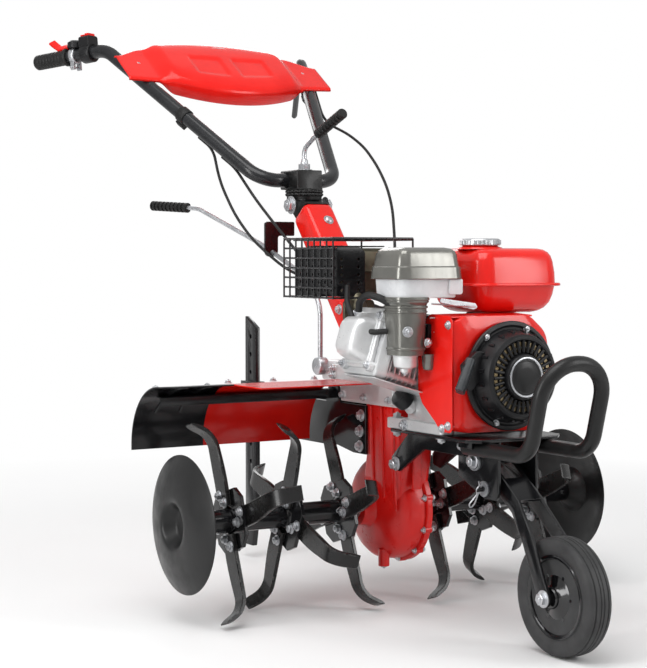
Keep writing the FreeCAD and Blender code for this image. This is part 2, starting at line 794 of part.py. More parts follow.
def wheel_bracket():
    """Two cheeks under the bed with the fork's pivot bolt and its lock pin."""
    under = "bed_top - bed_sheet"
    cheek = [("bracket_rear", under), ("bracket_rear", "fork_pivot_z - 30"),
             ("bracket_front + 40", "bracket_bottom"), ("bracket_front + 8", "bracket_bottom"),
             ("bracket_front", "bracket_bottom + 14"), ("bracket_front", under)]
    pieces = []
    for name, low, high in (("right", "-neck_half", "-neck_half + bar_sheet"),
                            ("left", "neck_half - bar_sheet", "neck_half")):
        body = new_body(f"cheek_{name}")
        pad(body, "YZ_Plane", [cheek], low, high)
        pieces.append(body)
    bolt = cylinder("pivot_bolt", "pivot_radius", "x", "-neck_half - 14", "fork_pivot_y",
                    "fork_pivot_z", "2 * neck_half + 26")
    washer = cylinder("pivot_washer", "washer_radius", "x", "-neck_half - 4", "fork_pivot_y",
                      "fork_pivot_z", "4")
    place = lock_pin_place()
    pin = shaped("lock_pin", Part.makeCylinder(mm("lock_radius"), mm("2 * neck_half + 28"),
                                               place - Vector(mm("neck_half + 16"), 0, 0),
                                               Vector(1, 0, 0)))
    return keep(fuse("wheel_bracket", pieces + [bolt, washer, pin]), "wheel_bracket")


def bumper():
    under = mm("bed_top - bed_sheet - bumper_tube")
    half, top = mm("bumper_half"), mm("bumper_top_z")
    right = [Vector(-half, mm("bumper_root_y + 40"), under),
             Vector(-half, mm("bumper_bend_y"), under),
             Vector(-half, mm("bumper_top_y"), top)]
    left = [Vector(half, p.y, p.z) for p in reversed(right)]
    path = right + left
    bends = [45, half * 0.96, half * 0.96, 45]
    return keep(shaped("bumper", swept_rod(path, bends, mm("bumper_tube"))), "bumper")


# ---- front wheel -------------------------------------------------------------------------

def wheel_fork():
    """Two flat arms, joined by a web, that splay to the axle's ends."""
    sheet_width, width = mm("bar_sheet"), mm("fork_width")
    top, foot = mm("fork_top_half"), mm("fork_foot_half")
    pivot = Vector(0, mm("fork_pivot_y"), mm("fork_pivot_z"))
    knee = Vector(0, mm("fork_knee_y"), mm("fork_knee_z"))
    axle = Vector(0, mm("wheel_y"), mm("wheel_radius"))
    stations = [(pivot, knee - pivot, top), (knee + (pivot - knee) * 0.25, knee - pivot, top),
                (knee + (axle - knee) * 0.25, axle - knee, (top + foot) / 2 + 2),
                (knee + (axle - knee) * 0.8, axle - knee, foot), (axle, axle - knee, foot)]

    def section(place, ahead, inside):
        across = Vector(0, ahead.z, -ahead.y).normalize() * (width / 2)
        corners = [place + across, place - across]
        points = [corners[0] + Vector(inside, 0, 0), corners[1] + Vector(inside, 0, 0),
                  corners[1] + Vector(inside + sheet_width, 0, 0),
                  corners[0] + Vector(inside + sheet_width, 0, 0)]
        return Part.makePolygon(points + points[:1])

    arm = Part.makeLoft([section(*station) for station in stations], True, True)
    ends = [Part.makeCylinder(width / 2, sheet_width, pivot + Vector(top, 0, 0), Vector(1, 0, 0)),
            Part.makeCylinder(width / 2, sheet_width, axle + Vector(foot, 0, 0), Vector(1, 0, 0))]
    arm = arm.fuse(ends)
    ahead = (knee - pivot).normalize()
    across = Vector(0, ahead.z, -ahead.y) * (width / 2)
    if across.z < 0:
        across = across * -1
    start, stop = pivot + ahead * 62, knee + (pivot - knee) * 0.25
    web = prism([start + across, stop + across, stop + across * 0.6, start + across * 0.6],
                Vector(2 * top, 0, 0)).translate(Vector(-top, 0, 0))
    axle_bolt = Part.makeCylinder(mm("axle_radius"), 2 * foot + 2 * sheet_width + 12,
                                  axle - Vector(foot + sheet_width + 6, 0, 0), Vector(1, 0, 0))
    fork = arm.fuse([mirrored(arm), web, axle_bolt])
    holes = [Part.makeCylinder(mm("pivot_radius + axle_gap"), 4 * foot,
                               pivot - Vector(2 * foot, 0, 0), Vector(1, 0, 0))]
    return keep(shaped("wheel_fork", fork.cut(holes)), "wheel_fork")


def wheel():
    rim = new_body("wheel_rim_body")
    bore = "axle_radius + axle_gap"
    disc_profile = [("-hub_half", bore), ("-hub_half", "16"), ("-hub_half + 6", "20"),
                    ("-14", "30"), ("-8", "rim_radius - 14"), ("-tyre_half + 4", "rim_radius - 8"),
                    ("-tyre_half + 4", "rim_radius + 4"), ("-tyre_half + 8", "rim_radius"),
                    ("tyre_half - 8", "rim_radius"), ("tyre_half - 4", "rim_radius + 4"),
                    ("tyre_half - 4", "rim_radius - 8"), ("8", "rim_radius - 14"), ("14", "30"),
                    ("hub_half - 6", "20"), ("hub_half", "16"), ("hub_half", bore)]
    revolve(rim, "XZ_Plane", [disc_profile], "H_Axis", ("0", "wheel_radius"), "wheel_y")
    keep(rim, "wheel_rim")
    tyre = new_body("wheel_tyre_body")
    section = [("-tyre_half + 8", "rim_radius"), ("-tyre_half + 4", "rim_radius + 4"),
               ("-tyre_half", "rim_radius + 12"), ("-tyre_half + 2", "wheel_radius - 8"),
               ("-tyre_half + 10", "wheel_radius - 1"), ("-6", "wheel_radius"),
               ("6", "wheel_radius"), ("tyre_half - 10", "wheel_radius - 1"),
               ("tyre_half - 2", "wheel_radius - 8"), ("tyre_half", "rim_radius + 12"),
               ("tyre_half - 4", "rim_radius + 4"), ("tyre_half - 8", "rim_radius")]
    revolve(tyre, "XZ_Plane", [section], "H_Axis", ("0", "wheel_radius"), "wheel_y")
    keep(tyre, "wheel_tyre")


# ---- engine ------------------------------------------------------------------------------

def tilted(shape):
    """Turn a shape drawn along -X from the crank's axis up to the cylinder's tilt."""
    shape.rotate(Vector(0, 0, mm("crank_z")), Vector(0, 1, 0), mm("cylinder_tilt"))
    return shape


def centred_box(x_low, x_high, y, z, width, height):
    return Part.makeBox(x_high - x_low, width, height,
                        Vector(x_low, y - width / 2, z - height / 2))


def engine_block():
    """Crankcase on two feet, with the finned cylinder leaning out to the right."""
    body = new_body("crankcase")
    base, wide = "bed_top", "case_width"
    outline = [(f"-{wide}", base), (wide, base), (wide, "crank_z + 20", "-case_width - 14"),
               (f"-{wide}", "crank_z + 20")]
    pad(body, "XZ_Plane", [outline], "case_front", "engine_rear")
    pad(body, "XZ_Plane", [rectangle("-foot_half", base, "foot_half", f"{base} + foot_height")],
        "case_front + 14", "engine_rear + 30")
    y, z = mm("cylinder_y"), mm("crank_z")
    side = mm("fin_side")
    parts = [centred_box(-mm("head_start"), -60, y, z, side * 0.62, side * 0.62)]
    for number in range(int(mm("fin_count"))):
        x = -mm("head_start") + number * mm("fin_pitch")
        parts.append(centred_box(x + 4, x + 7.5, y, z, side * 0.85, side))
    parts.append(centred_box(-mm("head_end"), -mm("head_start"), y, z, mm("2 * head_half"), side))
    barrel = shaped("cylinder", tilted(parts[0].fuse(parts[1:])))
    filler = shaped("oil_filler", Part.makeCylinder(
        mm("filler_radius"), 34, Vector(-mm("foot_half") + 22, mm("engine_rear") - 26,
                                        mm("bed_top") + 40), Vector(-0.8, 0, 0.6)))
    brackets = [box(f"tank_bracket_{name}", ("tank_right + 60", low, "crank_z + 18"),
                    ("tank_left - 70", high, "tank_bottom"))
                for name, low, high in (("front", "tank_front + 46", "tank_front + 50"),
                                        ("rear", "tank_rear - 50", "tank_rear - 46"))]
    return keep(fuse("engine_block", [body, barrel, filler] + brackets), "engine_block")


def valve_cover():
    """Domed rocker cover on a flange with four bolt bosses, at the cylinder's end."""
    y, z = mm("cylinder_y"), mm("crank_z")
    start, end = mm("head_end"), mm("valve_end")

    def section(out, half_y, half_z, turn):
        corners = [(y - half_y, z - half_z, turn), (y + half_y, z - half_z, turn),
                   (y + half_y, z + half_z, turn), (y - half_y, z + half_z, turn)]
        return rounded_wire(corners, -out, "YZ")

    flange_plate = Part.makeLoft([section(start, 44.5, 49.5, 16),
                                  section(start + 6.5, 44.5, 49.5, 16)], True, True)
    dome = Part.makeLoft([section(start + 6.5, 38, 43, 13), section(start + 9, 35, 40, 13),
                          section(start + 28, 33, 37, 14), section(start + 37, 31, 34, 15),
                          section(start + 43, 27, 29, 15), section(end, 16, 17, 12)],
                         True, True)
    bosses = [Part.makeCylinder(9.5, 10, Vector(-start, y + 41 * a, z + 46 * b),
                                Vector(-1, 0, 0)) for a in (-1, 1) for b in (-1, 1)]
    return keep(shaped("valve_cover", tilted(flange_plate.fuse([dome] + bosses))), "valve_cover")


def fan_shroud():
    """Pressed cover over the flywheel, carried back over the cylinder's side and top."""
    right, left = mm("shroud_right + 3"), mm("shroud_left")
    front, rear = mm("shroud_front"), mm("case_front")
    low, middle, top = mm("bed_top + 8"), mm("crank_z"), mm("tank_bottom - 1")
    face = [(right, low + 14, 12), (-92, low + 1, 20), (66, low, 26), (left - 2, 400, 36),
            (left, 540, 40), (54, top, 30), (right + 20, top, 14), (right - 1, middle + 96, 10)]
    pieces = [sheet_piece(face, front, rear, "XZ")]
    fins = mm("cylinder_y - 0.85 * fin_side / 2") - 2
    side = [(front, top - 4, 6), (-318, top, 12), (fins, 552, 12), (fins, middle - 30, 8),
            (fins - 14, 418, 9), (-334, 388, 9), (-350, low + 2, 6), (front, low + 2, 6)]
    pieces.append(sheet_piece(side, right - 2, right, "YZ"))
    roof = [(front + 5, top + 3, 1), (-318, top + 3, 14), (fins, 552, 1), (fins - 1, 549, 1),
            (-318, top, 12), (front + 5, top, 1)]
    pieces.append(sheet_piece(roof, right - 1, mm("tank_right - 10"), "YZ"))
    return keep(shaped("fan_shroud", pieces[0].fuse(pieces[1:])), "fan_shroud")


def starter():
    body = new_body("starter_body")
    ring = [("shroud_front", "0"), ("shroud_front", "80"), ("shroud_front - 7", "96"),
            ("shroud_front - 12", "97"), ("shroud_front - 14", "95"),
            ("shroud_front - 16", "83"), ("shroud_front - 18", "81"),
            ("shroud_front - 35", "78"), ("shroud_front - 46", "74"),
            ("shroud_front - 49", "66"), ("shroud_front - 46", "63"),
            ("shroud_front - 46", "42"), ("shroud_front - 53", "39.5"),
            ("shroud_front - 55", "30"), ("starter_nose", "28"), ("starter_nose", "0")]
    revolve(body, "YZ_Plane", [ring], "H_Axis", ("0", "crank_z"))
    front = mm("shroud_front")
    guide = [(-112, 492, 0), (-82, 516, 0), (-60, 512, 0), (-72, 470, 0), (-92, 448, 0),
             (-104, 446, 0)]
    block = sheet_piece(guide, front - 26, front - 10, "XZ")
    handle = swept_rod([Vector(-94, front - 20, 494), Vector(-122, front - 31, 446)], [],
                       mm("handle_radius"))
    grip = shaped("pull_handle", block.fuse(handle))
    return keep(fuse("starter", [body, grip]), "starter")


def fuel_tank():
    low = (mm("tank_right"), mm("tank_front"))
    high = (mm("tank_left"), mm("tank_rear"))
    seam, top, bottom = mm("tank_seam"), mm("tank_top"), mm("tank_bottom")
    corner = mm("tank_corner")
    upper = stack(low, high, [(seam, 1), (seam + 22, 0), (seam + 56, 3), (seam + 64, 8),
                              (seam + 69, 15), (top, 26)], corner)
    lower = stack(low, high, [(bottom, 40), (bottom + 4, 26), (bottom + 10, 17),
                              (bottom + 20, 10), (bottom + 34, 5), (seam, 1)], corner)
    flange = stack(low, high, [(seam - 2.5, -7), (seam, -9), (seam + 2.5, -7)], corner + 4)
    neck = Part.makeCone(mm("cap_radius + 5"), mm("cap_radius - 4"), mm("cap_bottom") - top,
                         Vector(mm("cap_x"), mm("cap_y"), top))
    keep(shaped("fuel_tank", upper.fuse([lower, flange, neck])), "fuel_tank")
    cap = new_body("fuel_cap_body")
    turned = [("0", "cap_bottom"), ("cap_radius", "cap_bottom"), ("cap_radius", "cap_top - 3"),
              ("cap_radius - 4", "cap_top"), ("0", "cap_top")]
    revolve(cap, "XZ_Plane", [turned], "V_Axis", ("cap_x", "0"), "cap_y")
    keep(cap, "fuel_cap")


def air_cleaner():
    low = (mm("cleaner_right"), mm("cleaner_front"))
    high = (mm("cleaner_left"), mm("cleaner_rear"))
    bottom, top = mm("cleaner_bottom"), mm("cleaner_top")
    rim, corner = mm("cleaner_rim"), mm("cleaner_corner")
    band = stack(low, high, [(bottom, 7), (bottom + 3, 4.5), (rim, 3.5)], corner)
    cap = stack(low, high, [(rim, -1), (rim + 2, -1.5), (rim + 12, 0), (rim + 13, 2.5),
                            (top - 10, 4), (top - 6, 6), (top, 22)], corner)
    keep(shaped("air_cleaner", band.fuse(cap)), "air_cleaner")

    low = (mm("duct_right"), mm("duct_front"))
    high = (mm("duct_left"), mm("cylinder_y - head_half"))
    base = mm("duct_bottom")
    duct = stack(low, high, [(base, 6), (base + 2, 2.6), (base + 50, 2), (base + 85, 0.5),
                             (base + 107, 0.5), (base + 108, -1.6), (base + 119, -1.6),
                             (base + 120, 0.5), (bottom - 13, 0.5), (bottom, -4)], corner)
    hose = swept_rod([Vector(-207, -222, 581), Vector(-207, -222, 612),
                      Vector(-180, -296, 612)], [18], mm("hose_radius"))
    keep(shaped("air_duct", duct.fuse(hose)), "air_duct")

    bowl = cylinder("bowl", "bowl_radius", "z", "bowl_x", "bowl_y", "bowl_bottom",
                    "duct_bottom - bowl_bottom")
    plug = cylinder("bowl_plug", "bowl_radius / 2", "z", "bowl_x", "bowl_y",
                    "bowl_bottom - 8", "9")
    cup = cylinder("sediment_cup", "bowl_radius / 2", "z", "duct_left - 12", "duct_front + 16",
                   "bowl_bottom - 4", "duct_bottom - bowl_bottom + 4")
    keep(fuse("carburettor", [bowl, plug, cup]), "carburettor")


def muffler():
    """Silencer box with its heat shields, exhaust neck and the strap under its guard."""
    low = (mm("muffler_right"), mm("muffler_front"))
    high = (mm("muffler_left"), mm("muffler_rear"))
    bottom, top = mm("muffler_bottom"), mm("muffler_top")
    can = stack(low, high, [(bottom, 6), (bottom + 8, 0), (bottom + 40, 0), (bottom + 41, -2),
                            (bottom + 43, -2), (bottom + 44, 0), (top - 6, 0), (top, 8)], 26)
    front = mm("muffler_front")
    right = mm("muffler_right")
    shields = [Part.makeBox(58, 6, 86, Vector(right - 4, front - 5, bottom - 4)),
               Part.makeBox(6, mm("muffler_rear - muffler_front"), 86,
                            Vector(right - 5, front, bottom - 4))]
    strap = Part.makeBox(mm("cage_left - cage_right") - 4, 25, 4,
                         Vector(mm("cage_right") + 6, front + 30, bottom - 4))
    neck = swept_rod([Vector(right + 43, mm("cylinder_y + head_half + 14"), bottom - 30),
                      Vector(right + 43, front + 20, bottom + 4)], [], 15)
    flange = Part.makeBox(65, 7, 40, Vector(right + 10, mm("cylinder_y + head_half"),
                                            bottom - 50))
    whole = can.fuse(shields + [strap, neck, flange])
    return keep(shaped("muffler", whole), "muffler")





def muffler_guard():
    """A cage of thin bars: a grid on the right side and the top, framed front and rear."""
    right, left = mm("cage_right"), mm("cage_left")
    front, rear = mm("cage_front"), mm("cage_rear")
    bottom, top = mm("cage_bottom"), mm("cage_top")
    half = mm("cage_wire")
    bars = []

    def bar(low, high):
        start = Vector(*low) - Vector(half, half, half)
        size = Vector(*high) - Vector(*low) + Vector(half, half, half) * 2
        bars.append(Part.makeBox(size.x, size.y, size.z, start))

    inside, under = right + 1.5 * half, top - 1.5 * half
    for step in range(7):
        z = bottom + (top - bottom) * step / 6
        bar((right, front, z), (right, rear, z))
    for step in range(9):
        y = front + (rear - front) * step / 8
        bar((inside, y, bottom), (inside, y, under))
        bar((inside, y, under), (left, y, under))
    for step in range(1, 9):
        x = right + (left - right) * step / 8
        bar((x, front, top), (x, rear, top))
    for y in (front, rear):
        bar((left, y, bottom), (left, y, top))
        bar((right, y, bottom), (left, y, bottom))
    bar((left, front, bottom), (left, rear, bottom))
    return keep(shaped("muffler_guard", bars[0].fuse(bars[1:])), "muffler_guard")


# ---- column, swivel and shift lever ------------------------------------------------------

def leaning(item):
    """Turn a shape drawn upright at the column's foot back to the column's lean."""
    item.rotate(Vector(0, mm("column_foot_y"), mm("box_top")), Vector(1, 0, 0),
                -mm("column_lean"))
    return item


def column():
    half, depth = mm("column_width / 2"), mm("column_depth")
    foot, base = mm("column_foot_y"), mm("box_top")
    tall = Part.makeBox(2 * half, depth, mm("column_length") + 60,
                        Vector(-half, foot - depth, base - 60))
    tall = leaning(tall)
    ground = Part.makeBox(400, 600, 600, Vector(-200, -300, base))
    return keep(shaped("column", tall.common(ground)), "column")


# ---- fenders and hitch -------------------------------------------------------------------

def fender_loop(front):
    """The fender's section, from its front edge back and down round its bend."""
    arc_end_y = "fender_bend + fender_arc"
    arc_end_z = "fender_top - fender_arc"
    return [(front, "fender_top"), ("fender_bend", "fender_top", "+fender_arc"),
            (arc_end_y, arc_end_z), (arc_end_y, f"{arc_end_z} - fender_skirt"),
            (f"{arc_end_y} - fender_sheet", f"{arc_end_z} - fender_skirt"),
            (f"{arc_end_y} - fender_sheet", arc_end_z, "-(fender_arc - fender_sheet)"),
            ("fender_bend", "fender_top - fender_sheet"), (front, "fender_top - fender_sheet")]


def fender(side, sign):
    low, high = ("fender_inner", "fender_joint")
    outer = "fender_outer"
    span = (low, high) if sign > 0 else (f"-{high}", f"-{low}")
    body = new_body(f"fender_{side}_body")
    pad(body, "YZ_Plane", [fender_loop("fender_front")], *span)
    keep(body, f"fender_{side}")
    span = (high, outer) if sign > 0 else (f"-{outer}", f"-{high}")
    wing = new_body(f"fender_wing_{side}_body")
    pad(wing, "YZ_Plane", [fender_loop("wing_front")], *span)
    far, front = sign * mm(outer), mm("wing_front")
    corner = sheet_piece([(far + sign, front - 1, 0), (far + sign, front + 44, 0),
                          (far, front + 44, 0), (far, front, 42), (far - sign * 44, front, 0),
                          (far - sign * 44, front - 1, 0)], 0, mm("fender_top") + 1, "XY")
    trim = shaped(f"wing_corner_{side}", corner)
    keep(cut(f"fender_wing_{side}", wing, [trim]), f"fender_wing_{side}")


STAY_Y = "fender_bend + (fender_arc - fender_sheet - stay_radius) * sin(stay_angle)"
STAY_Z = "fender_top - fender_arc + (fender_arc - fender_sheet - stay_radius) * cos(stay_angle)"


def fender_stay():
    rod = cylinder("stay_rod", "stay_radius", "x", "-fender_outer + 30", STAY_Y, STAY_Z,
                   "2 * fender_outer - 60")
    reach = "neck_half + bar_sheet"
    tab = cylinder("stay_collar", "stay_radius + 4", "x", f"-({reach}) - 8", STAY_Y, STAY_Z, "8")
    other = cylinder("stay_collar_left", "stay_radius + 4", "x", reach, STAY_Y, STAY_Z, "8")
    return keep(fuse("fender_stay", [rod, tab, other]), "fender_stay")


def hitch_bracket():
    """Side plates on the neck, closed into a box behind it, that carry stay and drawbar."""
    side = [("0", "hitch_bottom - 13"), ("0", "hitch_top"), (f"{STAY_Y} - 28", "hitch_top"),
            (f"{STAY_Y} - 16", "hitch_ear"), (f"{STAY_Y} + 16", "hitch_ear"),
            (f"{STAY_Y} + 28", "hitch_top"), ("hitch_rear", "hitch_top"),
            ("hitch_rear", "hitch_bottom"), ("hitch_front", "hitch_bottom"),
            ("45", "hitch_bottom - 13")]
    pieces = []
    for name, low, high in (("right", "-neck_half - bar_sheet", "-neck_half"),
                            ("left", "neck_half", "neck_half + bar_sheet")):
        body = new_body(f"hitch_plate_{name}")
        pad(body, "YZ_Plane", [side], low, high)
        pieces.append(body)
    inner = "neck_half"
    for name, low, high in (
            ("front", "hitch_front", "hitch_front + bar_sheet"),
            ("rear", "hitch_rear - bar_sheet", "hitch_rear")):
        pieces.append(box(f"hitch_{name}", (f"-{inner}", low, "hitch_bottom"),
                          (inner, high, "hitch_top")))
    pieces.append(box("hitch_floor", (f"-{inner} - bar_sheet", "hitch_front",
                                       "hitch_bottom - bar_sheet"),
                      (f"{inner} + bar_sheet", "hitch_rear", "hitch_bottom")))
    hole = cylinder("stay_hole", "stay_radius", "x", "-neck_half - 10", STAY_Y, STAY_Z,
                    "2 * neck_half + 20")
    drawbar = box("drawbar", ("-drawbar_half", "hitch_rear", "drawbar_z - drawbar_half"),
                  ("drawbar_half", "stake_y - stake_width / 2 - 8", "drawbar_z + drawbar_half"))
    holder = box("stake_holder",
                 ("-stake_thickness / 2 - 8", "stake_y - stake_width / 2 - 8", "drawbar_z - 34"),
                 ("stake_thickness / 2 + 8", "stake_y + stake_width / 2 + 8", "drawbar_z + 34"))
    slot = box("stake_slot",
               ("-stake_thickness / 2 - stake_gap", "stake_y - stake_width / 2 - stake_gap",
                "drawbar_z - 40"),
               ("stake_thickness / 2 + stake_gap", "stake_y + stake_width / 2 + stake_gap",
                "drawbar_z + 40"))
    solid = fuse("hitch_solid", pieces + [drawbar, holder])
    return keep(cut("hitch_bracket", solid, [hole, slot]), "hitch_bracket")


def depth_stake():
    body = new_body("depth_stake_body")
    front, rear = "stake_y - stake_width / 2", "stake_y + stake_width / 2"
    outline = [(front, "stake_top - 25"), (front, "stake_bottom + 70"),
               (f"{front} + 14", "stake_bottom"), (f"{rear} + 26", "stake_bottom"),
               (rear, "stake_bottom + 90"), (rear, "stake_top")]
    pad(body, "YZ_Plane", [outline], "-stake_thickness / 2", "stake_thickness / 2")
    holes = [("circle", "stake_y", f"stake_top - 45 - {number} * stake_pitch", "stake_hole")
             for number in range(8)]
    pocket(body, "YZ_Plane", holes, "-stake_thickness / 2", "stake_thickness / 2")
    return keep(body, "depth_stake")


# ---- handlebar ---------------------------------------------------------------------------

def bar_points():
    """Corners of the handlebar's path from the right grip's end to the left one's."""
    half = [Vector(mm("bar_bend_x + bar_end_out"), mm("bar_bend_y + bar_end_back"),
                   mm(f"{BAR_BEND_Z} - bar_end_down")),
            Vector(mm("bar_bend_x"), mm("bar_bend_y"), mm(BAR_BEND_Z)),
            Vector(mm("bar_corner_x"), mm("bar_y"), mm("bar_z"))]
    return [Vector(-p.x, p.y, p.z) for p in half] + half[::-1]


def handlebar():
    turn = mm("bar_turn")
    tube = swept_tube(bar_points(), [70, turn, turn, 70], mm("bar_radius"), mm("bar_wall"))
    keep(shaped("handlebar", tube), "handlebar")


def grips():
    points = bar_points()
    for side, end, before in (("right", points[0], points[1]), ("left", points[-1], points[-2])):
        inward = (before - end).normalize()
        start = end - inward * mm("grip_cap")
        body = Part.makeCylinder(mm("grip_radius"), mm("grip_length"), start, inward)
        bore = Part.makeCylinder(mm("bar_radius"), mm("grip_length"), end, inward)
        keep(shaped(f"grip_{side}", body.cut(bore)), f"grip_{side}")


def on_arms(shape):
    """Lay a shape drawn on the XY plane onto the plane of the handlebar's arms."""
    shape.rotate(Vector(), Vector(1, 0, 0), mm("bar_slope"))
    return shape.translate(Vector(0, mm("bar_y"), mm("bar_z")))


def panel_outline(tab, scale, height):
    """The panel's symmetrical outline, waisted at its tabs, as a wire."""
    low, high, reach = mm("panel_low"), mm("panel_high"), mm("panel_reach")
    dip, rise = mm("panel_low - panel_belly"), mm("panel_high + panel_crown")
    corners = [Vector(-reach, high, 0), Vector(-reach, low, 0)]
    if tab:
        out = reach + mm("panel_tab")
        corners = [Vector(70 - out, high, 0), Vector(-out, high - 36, 0),
                   Vector(20 - out, low + 4, 0), Vector(-reach, low, 0)]
    other = [Vector(-p.x, p.y, 0) for p in reversed(corners)]
    edges = [Part.LineSegment(a, b).toShape() for a, b in zip(corners, corners[1:])]
    edges.append(Part.Arc(corners[-1], Vector(0, dip, 0), other[0]).toShape())
    edges += [Part.LineSegment(a, b).toShape() for a, b in zip(other, other[1:])]
    edges.append(Part.Arc(other[-1], Vector(0, rise, 0), corners[0]).toShape())
    wire = Part.Wire(edges)
    middle = Vector(0, (low + high) / 2, 0)
    wire.scale(scale, middle)
    return wire.translate(Vector(0, 0, height))


def handlebar_panel():
    """A hollow shell over the arms, with two sunk fields on top and a tab on each arm."""
    seat, thick = mm("bar_radius"), mm("panel_sheet")
    top = seat + mm("panel_rise")
    tabs = Part.Face(panel_outline(True, 1, seat)).extrude(Vector(0, 0, thick))
    dome = Part.makeLoft([panel_outline(False, 1, -2), panel_outline(False, 1, seat + 8),
                          panel_outline(False, 0.9, top)], True, True)
    room = Part.makeLoft([panel_outline(False, 0.965, -3), panel_outline(False, 0.965, seat + 7),
                          panel_outline(False, 0.88, top - thick)], True, True)

    def field(low, high, grow):
        near, far = mm("panel_low") - 10 - grow, mm("panel_high") - 67 + grow
        corners = [(low - grow, near, 12), (high + grow, near, 12), (high + grow, far, 12),
                   (low - grow, far, 12)]
        return sheet_piece(corners, top - mm("panel_field") - grow, top + 1, "XY")

    sunk = [field(low, high, 0) for low, high in ((-92, -14), (16, 98))]
    walls = [field(low, high, thick) for low, high in ((-92, -14), (16, 98))]
    shell = tabs.fuse(dome).cut(room.cut(walls)).cut(sunk)
    keep(shaped("handlebar_panel", on_arms(shell)), "handlebar_panel")


def along_grip(side, distance):
    """A point on the grip's axis, that far in from the bar's end, and the way to the end."""
    points = bar_points()
    end, before = (points[0], points[1]) if side < 0 else (points[-1], points[-2])
    outward = (end - before).normalize()
    return end - outward * distance, outward


def collar(side, distance, outside, width):
    """A ring round the handlebar's end."""
    place, outward = along_grip(side, distance)
    ring = Part.makeCylinder(outside, width, place, outward * -1)
    return ring.cut(Part.makeCylinder(mm("bar_radius"), width, place, outward * -1))


def throttle():
    place, outward = along_grip(-1, mm("grip_length") + 22)
    ring = collar(-1, mm("grip_length") + 8, mm("bar_radius") + 4, 22)
    across = Vector(0, 0, 1)
    pod = Part.makeCylinder(14, 11, place + Vector(0, 0, mm("bar_radius") + 2), across)
    finger = swept_rod([place + Vector(0, 0, mm("bar_radius") + 8),
                        place + Vector(0, 0, mm("bar_radius") + 14) + outward * 40,
                        place + Vector(0, 0, mm("bar_radius") + 20) + outward * 72], [40], 5)
    keep(shaped("throttle", ring.fuse([pod, finger])), "throttle")


def switch_box():
    place, outward = along_grip(-1, mm("grip_length") + 41)
    ring = collar(-1, mm("grip_length") + 40, mm("bar_radius") + 6, 28)
    block = Part.makeBox(34, 26, 26, Vector(-17, 0, mm("bar_radius") + 1))
    angle = math.degrees(math.atan2(-outward.y, -outward.x)) - 90
    block.rotate(Vector(), Vector(0, 0, 1), angle)
    block.translate(place)
    solid = ring.fuse(block).cut(Part.makeCylinder(mm("bar_radius"), 60, place - outward * 50,
                                                   outward))
    keep(shaped("switch_box", solid), "switch_box")


def clutch_lever():
    start, outward = along_grip(1, mm("grip_length") + 40)
    ring = collar(1, mm("grip_length") + 30, mm("bar_radius") + 5, 20)
    pivot = start - Vector(0, 0, mm("bar_radius") + 14)
    lug = Part.makeBox(12, 30, 26, Vector(-6, -15, 0)).translate(
        start - Vector(0, 0, mm("bar_radius") + 22))
    lug = lug.cut(Part.makeCylinder(mm("bar_radius"), 80, start - outward * 40, outward))
    lever = swept_rod([pivot, pivot + outward * 20 - Vector(0, 0, 10),
                       pivot + outward * 150 - Vector(0, 0, 62)], [30], mm("clutch_radius"))
    keep(shaped("clutch_lever", ring.fuse([lug, lever])), "clutch_lever")


def clamp_lever():
    base = Vector(0, mm("swivel_y"), mm("bar_z + bar_radius + 6"))
    points = [base, base + Vector(0, 0, 46), base + Vector(0, -42, 68),
              base + Vector(0, -150, 108)]
    radius, grip = mm("lever_radius"), mm("lever_grip")
    nut = Part.makeCylinder(11, 14, base)
    rod = swept_rod(points[:3] + [points[3]], [22, 60], radius)
    ahead = (points[3] - points[2]).normalize()
    keep(shaped("clamp_lever", rod.fuse(nut)), "clamp_lever")
    start = points[3] - ahead * 100
    sleeve = Part.makeCylinder(grip, 106, start, ahead)
    bore = Part.makeCylinder(radius, 100, start, ahead)
    keep(shaped("clamp_grip", sleeve.cut(bore)), "clamp_grip")


def shift_lever():
    points = [Vector(-62, 150, mm("box_top") - 12), Vector(-62, 150, 585),
              Vector(-62, 215, 640), Vector(-66, 380, 703), Vector(-125, 565, 784),
              Vector(-168, 692, 792)]
    radius, grip = mm("lever_radius"), mm("lever_grip")
    rod = swept_rod(points, [60, 60, 120, 80], radius)
    boss = Part.makeCylinder(18, mm("62 - box_half + 8"),
                             Vector(-70, 150, mm("box_top") - 12), Vector(1, 0, 0))
    keep(shaped("shift_lever", rod.fuse(boss)), "shift_lever")
    ahead = (points[-1] - points[-2]).normalize()
    start = points[-1] - ahead * 104
    sleeve = Part.makeCylinder(grip, 110, start, ahead)
    bore = Part.makeCylinder(radius, 104, start, ahead)
    keep(shaped("shift_grip", sleeve.cut(bore)), "shift_grip")


def cable(name, points):
    """A held control cable: runs joined by arcs as large as the shorter run allows."""
    bends = []
    for before, corner, after in zip(points, points[1:], points[2:]):
        turn = (corner - before).getAngle(after - corner)
        shorter = min(corner.distanceToPoint(before), corner.distanceToPoint(after))
        bends.append(0.45 * shorter / math.tan(turn / 2))
    print(name, "bend radii", [round(radius) for radius in bends])
    keep(shaped(name, swept_rod(points, bends, mm("cable_radius"))), name)


def beside_arm(side, along):
    """A point where a cable hugs the underside of a handlebar arm, that far up the arm."""
    foot, knee = Vector(mm("bar_corner_x"), mm("bar_y"), mm("bar_z")), bar_points()[-2]
    point = foot + (knee - foot).normalize() * along
    below = Vector(0, math.sin(math.radians(mm("bar_slope"))),
                   -math.cos(math.radians(mm("bar_slope"))))
    point += below * mm("bar_radius + cable_radius + 0.3")
    return Vector(side * point.x, point.y, point.z)


def clutch_lug():
    """The point just ahead of the clutch lever's lug where its cable ends."""
    start, _ = along_grip(1, mm("grip_length") + 40)
    return start + Vector(0, -16.4, -17)


